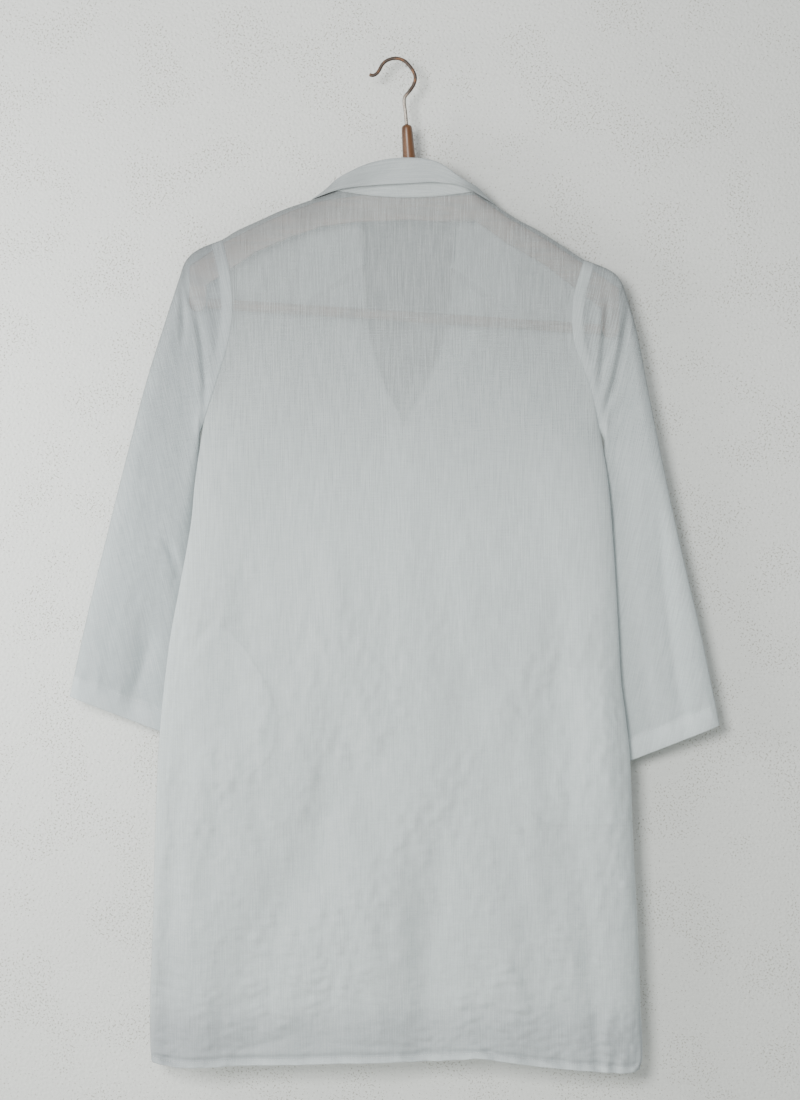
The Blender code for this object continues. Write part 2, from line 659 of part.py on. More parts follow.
def arm_outline():
    """Outline (x, z) of the hanger's arms, clockwise from the left tip along the top."""
    top = [(float(x), read(RIDGE, "z", x) - ARM_DROP) for x in ARM_STATIONS]
    middle = [(ARM_CENTRE[0] - ARM_CENTRE_HALF, ARM_CENTRE[1] - 2), ARM_CENTRE,
              (ARM_CENTRE[0] + ARM_CENTRE_HALF, ARM_CENTRE[1] - 2)]
    left_top = [p for p in top if p[0] < ARM_CENTRE[0]]
    right_top = [p for p in top if p[0] > ARM_CENTRE[0]]
    left_top[-1] = (left_top[-1][0], ARM_CENTRE[1] - 8)
    right_top[0] = (right_top[0][0], ARM_CENTRE[1] - 8)
    upper = [ARM_TIP[LEFT]] + left_top + middle + right_top + [ARM_TIP[RIGHT]]
    lower = [(x, z - ARM_HEIGHT) for x, z in left_top[1:] + [(ARM_CENTRE[0], ARM_CENTRE[1] - 6)] + right_top[:-1]]
    return upper + lobe(RIGHT) + lower[::-1] + lobe(LEFT)[::-1]


def lobe(side):
    """Round end of an arm, from its tip down round the end of the bar and back up to the arm."""
    outward_sign = -1 if side == LEFT else 1
    bar_x, bar_z = BAR_END[side]
    radius = LOBE_WIDTH / 2
    middle_x = bar_x + outward_sign * radius
    points = []
    for i in range(LOBE_ARC_STEPS + 1):
        angle = math.pi * i / LOBE_ARC_STEPS
        points.append((middle_x + outward_sign * radius * math.cos(angle),
                       bar_z - LOBE_BELOW_BAR + radius - radius * math.sin(angle)))
    tip_x = ARM_TIP[side][0]
    points[0] = (mix(points[0][0], tip_x, 0.5), points[0][1])
    inner_top = (bar_x, ARM_TIP[side][1] - ARM_HEIGHT + 6)
    return points + [inner_top]


def make_arms(finish, collection):
    outline = arm_outline()
    flat = bpy.data.curves.new("hanger_arms_outline", "CURVE")
    flat.dimensions = "2D"
    flat.fill_mode = "BOTH"
    flat.extrude = ARM_THICKNESS / 2 * MM
    spline = flat.splines.new("POLY")
    spline.points.add(len(outline) - 1)
    for point, (x, z) in zip(spline.points, outline):
        point.co = (x * MM, z * MM, 0.0, 1.0)
    spline.use_cyclic_u = True
    drawn = bpy.data.objects.new("hanger_arms_outline", flat)
    collection.objects.link(drawn)
    drawn.rotation_euler = (math.pi / 2, 0.0, 0.0)
    bpy.context.view_layer.update()
    seen = drawn.evaluated_get(bpy.context.evaluated_depsgraph_get())
    mesh = bpy.data.meshes.new_from_object(seen)
    bm = bmesh.new()
    bm.from_mesh(mesh)
    bmesh.ops.remove_doubles(bm, verts=bm.verts, dist=0.00001)
    bm.to_mesh(mesh)
    bm.free()
    mesh.name = "hanger_arms"
    arms = place("hanger_arms", mesh, finish, collection)
    arms.matrix_world = drawn.matrix_world
    bpy.data.objects.remove(drawn)
    rounding = arms.modifiers.new("rounded edges", "BEVEL")
    rounding.width = ARM_EDGE_ROUND * MM
    rounding.segments = 3
    rounding.limit_method = "ANGLE"
    rounding.angle_limit = math.radians(60)
    return arms


def make_bar(finish, collection):
    (x0, z0), (x1, z1) = BAR_END
    length = math.hypot(x1 - x0, z1 - z0) - 2 * BAR_END_GAP
    bpy.ops.mesh.primitive_cylinder_add(
        vertices=16, radius=BAR_DIAMETER / 2 * MM, depth=length * MM,
        location=((x0 + x1) / 2 * MM, 0.0, (z0 + z1) / 2 * MM),
        rotation=(0.0, math.pi / 2 - math.atan2(z1 - z0, x1 - x0), 0.0),
    )
    made = bpy.context.object
    mesh = made.data
    bar = place("hanger_bar", mesh, finish, collection)
    bar.matrix_world = made.matrix_world.copy()
    bpy.data.objects.remove(made)
    mesh.name = "hanger_bar"
    mesh.shade_smooth()
    mesh.set_sharp_from_angle(angle=math.radians(40))
    return bar


def make_neck(finish, collection):
    """Turned neck: a profile run round its axis, leaning with the hanger."""
    (top_x, top_z), (foot_x, foot_z) = NECK_TOP, NECK_FOOT
    length = math.hypot(foot_x - top_x, foot_z - top_z)
    mesh = bpy.data.meshes.new("hanger_neck")
    bm = bmesh.new()
    points = [(0.0, 0.0, 0.0)]
    points += [(row.radius * MM, 0.0, -row.share * length * MM) for row in NECK_PROFILE]
    points.append((0.0, 0.0, -length * MM))
    verts = [bm.verts.new(point) for point in points]
    for a, b in zip(verts, verts[1:]):
        bm.edges.new((a, b))
    bm.to_mesh(mesh)
    bm.free()
    neck = place("hanger_neck", mesh, finish, collection)
    turning = neck.modifiers.new("turned", "SCREW")
    turning.axis = "Z"
    turning.angle = 2 * math.pi
    turning.steps = NECK_SIDES
    turning.render_steps = NECK_SIDES
    turning.use_merge_vertices = True
    turning.merge_threshold = 0.00002
    neck.location = (top_x * MM, 0.0, top_z * MM)
    neck.rotation_euler = (0.0, -math.atan2(foot_x - top_x, top_z - foot_z), 0.0)
    return neck


def make_hook(finish, collection):
    wire = bpy.data.curves.new("hanger_hook", "CURVE")
    wire.dimensions = "3D"
    wire.bevel_depth = HOOK_WIRE / 2 * MM
    wire.bevel_resolution = 2
    wire.use_fill_caps = True
    points = []
    for i in range(len(HOOK) - 1):
        ends = [HOOK[min(max(i + j, 0), len(HOOK) - 1)] for j in (-1, 0, 1, 2)]
        points += [tuple(between(*values, t) for values in zip(*ends)) for t in (0.0, 0.5)]
    points.append((NECK_TOP[0], NECK_TOP[1] + HOOK_FOOT_GAP))
    spline = wire.splines.new("POLY")
    spline.points.add(len(points) - 1)
    for point, (x, z) in zip(spline.points, points):
        point.co = (x * MM, 0.0, z * MM, 1.0)
    return place("hanger_hook", wire, finish, collection)


def main():
    for thing in list(bpy.data.objects):
        bpy.data.objects.remove(thing)
    tunic = bpy.data.collections.new("tunic top on a hanger")
    bpy.context.scene.collection.children.link(tunic)

    linen = {name: material(name, LINEN, 0.9) for name in ("back", "front", "sleeve_left", "sleeve_right")}
    double = {
        name: material(name, LINEN_DOUBLE, 0.9)
        for name in ("collar_stand", "collar_leaf", "facing_left", "facing_right", "placket",
                     "pocket_left", "pocket_right")
    }
    wood = {name: material(name, WOOD, 0.5) for name in ("hanger_arms", "hanger_bar", "hanger_neck")}
    iron = material("hanger_hook", IRON, 0.45, 1.0)

    cloth("back", [back_grid()], linen["back"], tunic)
    cloth("front", [front_grid(LEFT), front_grid(RIGHT)], linen["front"], tunic)
    for side in (LEFT, RIGHT):
        word = side_name(side)
        cloth("sleeve_" + word, [sleeve_grid(side)], linen["sleeve_" + word], tunic, closed=True)
        cloth("facing_" + word, [lapel_grid(side)], double["facing_" + word], tunic)
        cloth("pocket_" + word, [pocket_grid(side)], double["pocket_" + word], tunic,
              thickness=POCKET_THICKNESS)
    cloth("collar_stand", [stand_grid()], double["collar_stand"], tunic)
    cloth("collar_leaf", [leaf_grid()], double["collar_leaf"], tunic)
    cloth("placket", [placket_grid()], double["placket"], tunic)

    make_arms(wood["hanger_arms"], tunic)
    make_bar(wood["hanger_bar"], tunic)
    make_neck(wood["hanger_neck"], tunic)
    make_hook(iron, tunic)


main()
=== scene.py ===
"""Looks of the sheer linen tunic top on its wooden hanger.

The tables are in millimetres and the meshes in metres, in the frame of the CAD model: +Z is up, the
back of the tunic faces -Y and its front +Y, and the origin is the underside of the hook's arc.
"""
from __future__ import annotations

import json
import logging
import math
from dataclasses import dataclass, field
from enum import Enum
from typing import Callable, Iterable, NamedTuple, Sequence

import bmesh
import bpy
import numpy as np
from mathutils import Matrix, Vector

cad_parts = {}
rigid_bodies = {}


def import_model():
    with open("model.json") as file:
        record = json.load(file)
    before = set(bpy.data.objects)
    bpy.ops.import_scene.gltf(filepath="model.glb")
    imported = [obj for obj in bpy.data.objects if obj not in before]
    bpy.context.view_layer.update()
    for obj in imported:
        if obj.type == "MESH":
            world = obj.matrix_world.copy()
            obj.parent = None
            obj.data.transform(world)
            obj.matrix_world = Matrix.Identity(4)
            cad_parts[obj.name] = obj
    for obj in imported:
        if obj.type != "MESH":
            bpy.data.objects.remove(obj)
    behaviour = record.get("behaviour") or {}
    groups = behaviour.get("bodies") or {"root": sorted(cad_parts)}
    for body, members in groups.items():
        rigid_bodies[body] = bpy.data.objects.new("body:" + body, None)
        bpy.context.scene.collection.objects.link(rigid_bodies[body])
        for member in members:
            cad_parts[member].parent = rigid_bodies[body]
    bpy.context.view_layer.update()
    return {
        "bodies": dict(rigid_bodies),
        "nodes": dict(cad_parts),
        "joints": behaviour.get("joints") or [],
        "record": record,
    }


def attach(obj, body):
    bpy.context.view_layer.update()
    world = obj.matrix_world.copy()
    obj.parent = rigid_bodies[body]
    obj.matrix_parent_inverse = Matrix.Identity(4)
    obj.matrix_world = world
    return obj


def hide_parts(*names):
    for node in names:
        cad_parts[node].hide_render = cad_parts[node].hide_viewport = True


MM = 0.001
NOISE_TURN = 0.55
Array = np.ndarray
Triple = tuple[float, float, float]
log = logging.getLogger("tunic")


class Face(Enum):
    """Which layer of the hung garment a place is on."""

    BACK = -1
    FRONT = 1


class Side(Enum):
    """Side of the garment as seen from behind it; the value points outwards along X."""

    LEFT = -1
    RIGHT = 1

    @property
    def word(self) -> str:
        """Name of the side in the tables and in the names of the pieces."""
        return self.name.lower()

    @property
    def index(self) -> int:
        """Place of the side in a pair (left, right)."""
        return 0 if self is Side.LEFT else 1


BACK, FRONT, LEFT, RIGHT = Face.BACK, Face.FRONT, Side.LEFT, Side.RIGHT


class Fold(NamedTuple):
    """A soft trough (negative height) or ridge (positive) from its top to its bottom end."""

    face: Face
    x_top: float
    z_top: float
    x_bottom: float
    z_bottom: float
    bow: float
    width: float
    height: float


class Ring(NamedTuple):
    """One ring of a sleeve between its outer and inner edge."""

    along: float
    outer_x: float
    outer_z: float
    inner_x: float
    inner_z: float
    half_depth: float
    tuck: float


class Section(NamedTuple):
    """Collar at one place of its seam: where it folds over and where its leaf ends."""

    seam: float
    fold_x: float
    fold_y: float
    fold_z: float
    edge_x: float
    edge_y: float | None
    edge_z: float


# z, left edge, right edge of the body below the underarms.
SIDES = (
    (-1008, -241, 242), (-996, -245, 245), (-940, -246, 243), (-860, -243, 240), (-780, -241, 236),
    (-700, -238, 233), (-660, -235, 229), (-620, -231, 224), (-574, -225, 221.5), (-526, -216, 219),
    (-465, -205, 215), (-420, -200.5, 211), (-365, -193, 203), (-340, -190, 200),
)
# x, z of the hem from left to right.
HEM = (
    (-243, -1000), (-216, -1003.5), (-156, -1002), (-96, -1001), (-36, -999), (24, -998), (66, -996),
    (84, -994.5), (102, -997), (144, -1003), (189, -1007), (234, -1010), (243, -1008),
)
# x, z of the top of the shoulders, and over the neck the line that the rounding starts from.
RIDGE = (
    (-200, -192), (-174, -180), (-159, -171), (-135, -160), (-114, -150.5), (-84, -140), (-74, -136.5),
    (-63, -131), (-50, -120), (-25, -108), (9, -104), (43, -108), (68, -120), (81, -132), (87, -138),
    (106, -150), (122, -160), (141, -170), (165, -185), (188, -200), (210, -210),
)
SHOULDER_END = ((-174.0, -180.0), (188.0, -200.0))
NECK_POINT = ((-63.0, -131.0), (81.0, -132.0))
UNDERARM = ((-193.0, -365.0), (203.0, -369.0))
# share down the armhole, scoop of the left and of the right seam.
ARMHOLE_SCOOP = (
    (0, 0, 0), (0.13, 8.5, 9), (0.24, 13.8, 15), (0.37, 17.8, 18), (0.50, 18, 17.6), (0.60, 15.8, 12.8),
    (0.70, 11.8, 7.8), (0.80, 8, 4.2), (0.90, 4, 1.8), (1, 0, 0),
)
# z, left and right edge of the open front neck.
FRONT_OPENING = (
    (-362, 7, 7), (-350, 0, 16), (-330, -11, 29), (-300, -21, 41), (-270, -28, 49), (-240, -31, 54),
    (-190, -34, 58.5), (-165, -35, 59.5), (-152, -38, 61), (-142, -44, 65), (-136, -52, 72), (-131, -63, 81),
)
V_POINT = (7.0, -362.0)
HEM_CENTRE_X = -2.0
# z, depth of the back and of the front from the hanger's plane.
DEPTHS = (
    (-1010, 22, 20), (-780, 19, 17), (-560, 15.5, 15), (-365, 13.5, 14), (-245, 12.5, 13),
    (-140, 12.5, 12), (-100, 12, 11),
)

BODY_FOLDS = (
    Fold(BACK, -206, -640, -236, -1010, -8, 15, -4.5),
    Fold(BACK, -194, -780, -192, -1010, 3, 20, 3),
    Fold(BACK, -46, -610, -168, -940, 26, 27, -5.5),
    Fold(BACK, -20, -760, -34, -1010, 4, 34, 4.5),
    Fold(BACK, 46, -700, 32, -1010, -4, 20, -5),
    Fold(BACK, 100, -800, 112, -1010, 4, 28, 3),
    Fold(BACK, 170, -480, 161, -750, -3, 20, -4.5),
    Fold(BACK, 161, -700, 204, -1010, 8, 18, -4),
    Fold(BACK, 207, -590, 212, -780, 2, 18, 3),
    Fold(FRONT, -150, -520, -182, -1010, -6, 24, -5.5),
    Fold(FRONT, -92, -640, -106, -1010, 5, 26, 4),
    Fold(FRONT, -46, -720, -40, -1010, -3, 20, -4.5),
    Fold(FRONT, 62, -640, 74, -1010, 4, 23, -5.5),
    Fold(FRONT, 118, -560, 136, -1010, 5, 25, 4),
    Fold(FRONT, 168, -620, 196, -1010, -5, 18, -4.5),
)
# Smaller creases that only the finer cloth carries.
BODY_CREASES = (
    Fold(BACK, -40, -670, -24, -800, 3, 14, -3.2),
    Fold(BACK, -222, -800, -226, -1010, -3, 11, -2.2),
    Fold(BACK, -176, -730, -196, -960, -6, 14, -2.4),
    Fold(BACK, -120, -690, -84, -560, 6, 18, -1.8),
    Fold(BACK, -70, -840, -112, -985, 5, 20, 2.2),
    Fold(BACK, 2, -800, -18, -940, 4, 20, 1.6),
    Fold(BACK, 78, -560, 70, -820, -4, 18, -2.2),
    Fold(BACK, 176, -620, 168, -780, 4, 10, -2.8),
    Fold(BACK, 120, -640, 140, -900, 6, 18, 2.2),
    Fold(BACK, -150, -470, -168, -700, 4, 20, -1.9),
    Fold(BACK, 30, -430, 46, -620, 4, 20, -1.6),
    Fold(BACK, -60, -470, -52, -660, -3, 18, 1.5),
    Fold(BACK, -211, -985, -86, -966, -9, 5, -1.9),
    Fold(BACK, -190, -944, -110, -926, -5, 6, -1.4),
    Fold(BACK, -126, -905, -128, -960, 2, 5, -1.4),
    Fold(BACK, -46, -982, 34, -989, 1, 4, -1.6),
    Fold(BACK, 60, -946, 150, -962, 5, 6, -1.4),
    Fold(BACK, 194, -930, 200, -1004, 3, 5, -2.0),
    Fold(BACK, 216, -940, 209, -1006, -3, 6, 1.6),
    Fold(BACK, -226, -560, -232, -700, 2, 8, 1.4),
    Fold(BACK, -204, -586, -176, -566, 3, 5, -1.5),
    Fold(FRONT, -212, -600, -226, -1010, 3, 10, 1.6),
    Fold(FRONT, -128, -760, -140, -1010, 3, 9, 1.5),
    Fold(FRONT, -70, -820, -76, -1010, -2, 8, -1.3),
    Fold(FRONT, 30, -800, 34, -1010, 2, 9, 1.4),
    Fold(FRONT, 96, -700, 104, -1010, -3, 8, -1.5),
    Fold(FRONT, 150, -780, 160, -1010, 3, 9, 1.3),
    Fold(FRONT, 206, -640, 214, -900, 3, 10, 1.4),
)
# x, half width, lift of the puckers that the hem's stitching draws up.
HEM_PUCKERS = (
    (-236, 5, 0.8), (-221, 7, -0.7), (-205, 5, 0.6), (-188, 9, -0.8), (-166, 6, 0.5), (-149, 8, -0.5),
    (-126, 12, 0.7), (-104, 6, -0.4), (-83, 10, 0.6), (-58, 8, -0.6), (-37, 5, 0.5), (-19, 9, -0.5),
    (3, 6, 0.9), (17, 8, -0.8), (38, 5, 0.6), (55, 10, -0.7), (76, 7, 1.1), (93, 6, -0.9), (112, 9, 0.7),
    (131, 5, -0.6), (149, 7, 0.9), (163, 4, -0.9), (174, 4, 1.0), (184, 3.5, -1.1), (192, 4, 1.2),
    (201, 3.5, -1.0), (209, 3, 1.2), (217, 3.5, -1.1), (225, 3, 1.0), (233, 4, -0.8),
)
# share across, half width as a share, lift of the puckers at the cuffs.
CUFF_PUCKERS = (
    (0.05, 0.022, 0.8), (0.13, 0.035, -0.6), (0.22, 0.020, 0.7), (0.34, 0.040, -0.5), (0.43, 0.022, 0.8),
    (0.53, 0.028, -0.7), (0.63, 0.020, 0.6), (0.74, 0.030, -0.8), (0.83, 0.022, 0.9), (0.93, 0.025, -0.6),
)
SLEEVE_FOLDS = (
    Fold(BACK, -246, -540, -270, -680, 3, 14, -4),
    Fold(BACK, 258, -400, 292, -700, -7, 15, -4),
    Fold(FRONT, -262, -420, -284, -690, 4, 16, -4.5),
    Fold(FRONT, 246, -440, 262, -720, -4, 16, -4),
)
SLEEVE_CREASES = (
    Fold(BACK, -216, -212, -213, -292, 2, 3.6, -3.0),
    Fold(BACK, -211, -196, -197, -256, -5, 3.6, -3.2),
    Fold(BACK, -202, -236, -189, -362, 3, 3.4, -4.0),
    Fold(BACK, -196, -232, -182, -330, 4, 6.0, 2.8),
    Fold(BACK, -236, -472, -218, -530, 5, 5, -2.4),
    Fold(BACK, -246, -570, -268, -640, 4, 6, -2.0),
    Fold(BACK, 211, -226, 198, -350, 3, 3.0, -3.4),
    Fold(BACK, 204, -236, 192, -330, 3, 5.0, 3.0),
    Fold(BACK, 234, -226, 203, -368, 5, 3.8, -4.0),
    Fold(BACK, 224, -250, 206, -346, 4, 5.0, 2.6),
    Fold(BACK, 192, -262, 200, -322, -2, 3.4, -2.6),
    Fold(BACK, 263, -440, 293, -690, -4, 6, -2.6),
    Fold(BACK, 244, -560, 262, -700, -3, 7, -1.8),
    Fold(FRONT, -214, -226, -196, -350, 5, 5.5, -2.8),
    Fold(FRONT, -226, -250, -212, -372, 4, 6, 1.6),
    Fold(FRONT, -236, -520, -222, -590, 5, 5, -1.6),
    Fold(FRONT, 222, -240, 206, -352, 4, 5, -2.8),
    Fold(FRONT, 240, -262, 226, -380, 4, 6, 1.5),
    Fold(FRONT, 276, -540, 300, -680, -4, 6, -1.4),
)
SLEEVE_RINGS = (
    (
        Ring(0.00, -174, -180, -193.4, -365.6, 9.5, 0), Ring(0.06, -198, -190, -197.0, -377, 10, 2),
        Ring(0.11, -210, -201, -197.2, -388, 10, 4.5), Ring(0.17, -217, -220, -198.0, -402, 10, 7.5),
        Ring(0.26, -230, -260, -200.5, -427, 10, 10.5), Ring(0.38, -249, -320, -203.5, -463, 9.5, 13),
        Ring(0.52, -270, -400, -208.0, -515, 9, 14), Ring(0.68, -290, -480, -212.0, -570, 8.5, 15),
        Ring(0.84, -309.5, -560, -214.5, -625, 8, 15.5), Ring(1.00, -326, -636, -216.5, -679, 7.5, 16),
    ),
    (
        Ring(0.00, 188, -200, 203.4, -369.6, 9.5, 0), Ring(0.06, 213, -210, 208.2, -381, 10, 2),
        Ring(0.11, 224, -220, 208.4, -392, 10, 4.5), Ring(0.17, 231, -238, 209.4, -407, 10, 7.5),
        Ring(0.26, 241, -273, 211.8, -434, 10, 10.5), Ring(0.38, 252, -330, 213.5, -476, 9.5, 13),
        Ring(0.52, 266, -400, 211.5, -531, 9, 14), Ring(0.68, 283, -480, 209.5, -590, 8.5, 15),
        Ring(0.84, 304, -570, 210.5, -650, 8, 15.5), Ring(1.00, 323.5, -665, 213.5, -709, 7.5, 16),
    ),
)
COLLAR = (
    Section(-1.00, -31, 18, -203, -95, None, -243), Section(-0.78, -32, 18.5, -187, -97, None, -217),
    Section(-0.52, -34, 19, -165, -97, None, -188), Section(-0.25, -42, 19.5, -142, -93, None, -161),
    Section(-0.10, -53, 17, -131, -88, 11.5, -145.9), Section(-0.04, -60, 13.5, -127.5, -84, 7, -140.3),
    Section(0.00, -64, 0, -126.2, -81, 0, -137.9),
    Section(0.10, -51, -16, -117.5, -54, -18.6, -131.0), Section(0.28, -24, -18, -105.5, -24, -21.5, -127.8),
    Section(0.50, 7, -18.5, -100.8, 9, -22.5, -126), Section(0.72, 39, -18, -104.5, 41, -21.5, -124.8),
    Section(0.90, 67, -16, -122, 69, -18.6, -129.4), Section(1.00, 80, 0, -128.6, 96, 0, -142.6),
    Section(1.04, 77, 13.5, -130, 100, 7, -145.4), Section(1.10, 71, 17, -132.5, 105, 11.5, -152.0),
    Section(1.25, 64, 19.5, -144, 114, None, -168),
    Section(1.52, 59, 19, -168, 121, None, -194), Section(1.78, 57, 18.5, -189, 122, None, -222),
    Section(2.00, 55, 18, -207, 119, None, -251),
)
COLLAR_END = (-204.0, -208.0)
# z of the roll, then x, z of the turned-out edge on the left and on the right.
LAPELS = (
    (-214, -66, -230, 92, -240), (-238, -64, -253, 88, -260), (-264, -58, -281, 79, -286),
    (-292, -46, -306, 66, -309), (-320, -29, -330, 47, -332), (-343, -10, -348, 25, -349),
    (-355, 0, -357, 13, -357.5),
)
# distance below the top of a pocket bag, width of the bag.
POCKET_BAG = ((0, 52), (30, 82), (85, 114), (130, 112), (158, 84))
POCKET_TOP = (-566.0, -608.0)
# x, z of the middle of the hook's wire, from its tip to its foot.
HOOK_WIRE = (
    (-26.7, -14.6), (-23.0, -15.4), (-19.0, -13.3), (-16.2, -9.2), (-13.4, -4.2), (-8.2, -0.1), (0.0, 1.75),
    (7.8, -0.6), (13.6, -6.0), (17.8, -12.4), (19.3, -17.8), (18.0, -24.2), (13.5, -31.2), (9.3, -36.3),
    (8.2, -42.0), (9.4, -52.0), (10.6, -64.5),
)
# share down the neck of the hanger, radius there.
NECK_PROFILE = (
    (0.0, 2.6), (0.008, 3.6), (0.02, 4.4), (0.045, 5.1), (0.12, 5.5), (0.30, 5.9), (0.55, 6.5), (0.80, 7.2),
    (1.0, 7.6),
)
NECK_TOP = (10.6, -64.8)
NECK_FOOT = (15.4, -128.0)


def mix(a, b, t):
    """Value between a and b at the share t."""
    return a + (b - a) * t


def ease(t: Array | float) -> Array:
    """Share t made to start and stop gently, held between 0 and 1."""
    t = np.clip(t, 0.0, 1.0)
    return t * t * (3 - 2 * t)


def bell(distance: Array, half: float) -> Array:
    """1 at no distance, and fading smoothly over a half width."""
    return np.exp(-((distance / half) ** 2))


def quarter_round(distance: Array, reach: float) -> Array:
    """0 at an edge and 1 from the reach inward, as a quarter of an ellipse."""
    t = np.clip(np.asarray(distance) / reach, 0.0, 1.0)
    return np.sqrt(1 - (1 - t) ** 2)


def gathered(count: int, share: float = 0.8) -> Array:
    """Steps from 0 to 1 that lie closer together at both ends.

    Args:
        count: How many spaces there are between the steps.
        share: How strongly the steps gather at the ends.

    Returns:
        count + 1 values from 0 to 1.
    """
    t = np.linspace(0, 1, count + 1)
    return mix(t, 0.5 * (1 - np.cos(np.pi * t)), share)


class Curve:
    """Smooth curve through rows of numbers, one column against the first."""

    def __init__(self, rows: Sequence[Sequence[float]], column: int) -> None:
        """Keep the rows in order and work out the slope at each of them.

        Args:
            rows: The table.
            column: Which column to read, counted from 0.
        """
        ordered = sorted((row[0], row[column]) for row in rows)
        self.keys = np.array([key for key, _ in ordered], float)
        self.values = np.array([value for _, value in ordered], float)
        last = len(ordered) - 1
        before = np.maximum(np.arange(last + 1) - 1, 0)
        after = np.minimum(np.arange(last + 1) + 1, last)
        self.slopes = (self.values[after] - self.values[before]) / (self.keys[after] - self.keys[before])

    def at(self, place: Array | float) -> Array:
        """Value of the column at one or many places along the first column."""
        place = np.clip(np.asarray(place, float), self.keys[0], self.keys[-1])
        i = np.clip(np.searchsorted(self.keys, place, side="right") - 1, 0, len(self.keys) - 2)
        span = self.keys[i + 1] - self.keys[i]
        t = (place - self.keys[i]) / span
        return (
            (2 * t**3 - 3 * t**2 + 1) * self.values[i] + (t**3 - 2 * t**2 + t) * span * self.slopes[i]
            + (3 * t**2 - 2 * t**3) * self.values[i + 1] + (t**3 - t**2) * span * self.slopes[i + 1]
        )


def fold_height(folds: Iterable[Fold], x: Array, z: Array, face: Face) -> Array:
    """How far the folds of one face lift the cloth out of its plain form.

    Args:
        folds: The troughs and ridges.
        x: Places across.
        z: Places up.
        face: Back or front.

    Returns:
        Heights outwards in millimetres.
    """
    height = np.zeros(np.broadcast(x, z).shape)
    for fold in folds:
        if fold.face is not face:
            continue
        run_x, run_z = fold.x_bottom - fold.x_top, fold.z_bottom - fold.z_top
        length = math.hypot(run_x, run_z)
        along = ((x - fold.x_top) * run_x + (z - fold.z_top) * run_z) / length**2
        aside = ((x - fold.x_top) * -run_z + (z - fold.z_top) * run_x) / length
        aside = aside - fold.bow * np.sin(np.pi * np.clip(along, 0, 1))
        if fold.z_bottom <= -1000:
            taper = ease(along / 0.35) * (along < 1.05)
        else:
            taper = ease(along / 0.3) * ease((1 - along) / 0.3)
        height = height + fold.height * bell(aside, fold.width) * taper
    return height


def puckered(puckers: Sequence[Sequence[float]], place: Array) -> Array:
    """Lift of a row of puckers (place, half width, lift) at places along it."""
    place = np.asarray(place, float)
    return sum(lift * bell(place - at, half) for at, half, lift in puckers)


class Crinkles:
    """Small unpressed crinkles: thin creases that wander in patches, and soft upright ripples."""

    def __init__(self, seed: int) -> None:
        """Draw the waves.

        Args:
            seed: Seed of the draw.
        """
        draw = np.random.default_rng(seed)
        self.creases = self._waves(draw, 26, 9.5, 30.0, 90.0, 34.0)
        self.slanted = self._waves(draw, 18, 16.0, 46.0, 58.0, 26.0)
        self.ripples = self._waves(draw, 12, 26.0, 74.0, 4.0, 12.0)
        self.patches = self._waves(draw, 9, 90.0, 260.0, 0.0, 180.0)

    @staticmethod
    def _waves(draw: np.random.Generator, count: int, short: float, long: float, turn: float,
               spread: float) -> tuple[Array, Array, Array]:
        """Waves of lengths between short and long that run about one direction (degrees)."""
        step = math.tau / np.exp(draw.uniform(math.log(short), math.log(long), count))
        way = np.radians(turn + draw.normal(0.0, spread, count))
        return step * np.cos(way), step * np.sin(way), draw.uniform(0.0, math.tau, count)

    @staticmethod
    def _sum(waves: tuple[Array, Array, Array], x: Array, z: Array) -> Array:
        """Sum of the waves, with a spread of about 1."""
        total = sum(np.sin(x * kx + z * kz + start) for kx, kz, start in zip(*waves))
        return total * math.sqrt(2.0 / len(waves[0]))

    def at(self, x: Array, z: Array) -> Array:
        """Height at places (x, z), about 1 high."""
        patch = 0.68 + 0.30 * np.tanh(1.4 * self._sum(self.patches, x, z))
        thin = np.sqrt(self._sum(self.creases, x, z) ** 2 + 0.05)
        slant = np.sqrt(self._sum(self.slanted, x, z) ** 2 + 0.05)
        return 0.62 * thin * patch - 0.40 * slant * (1.1 - patch) + 0.14 * self._sum(self.ripples, x, z)


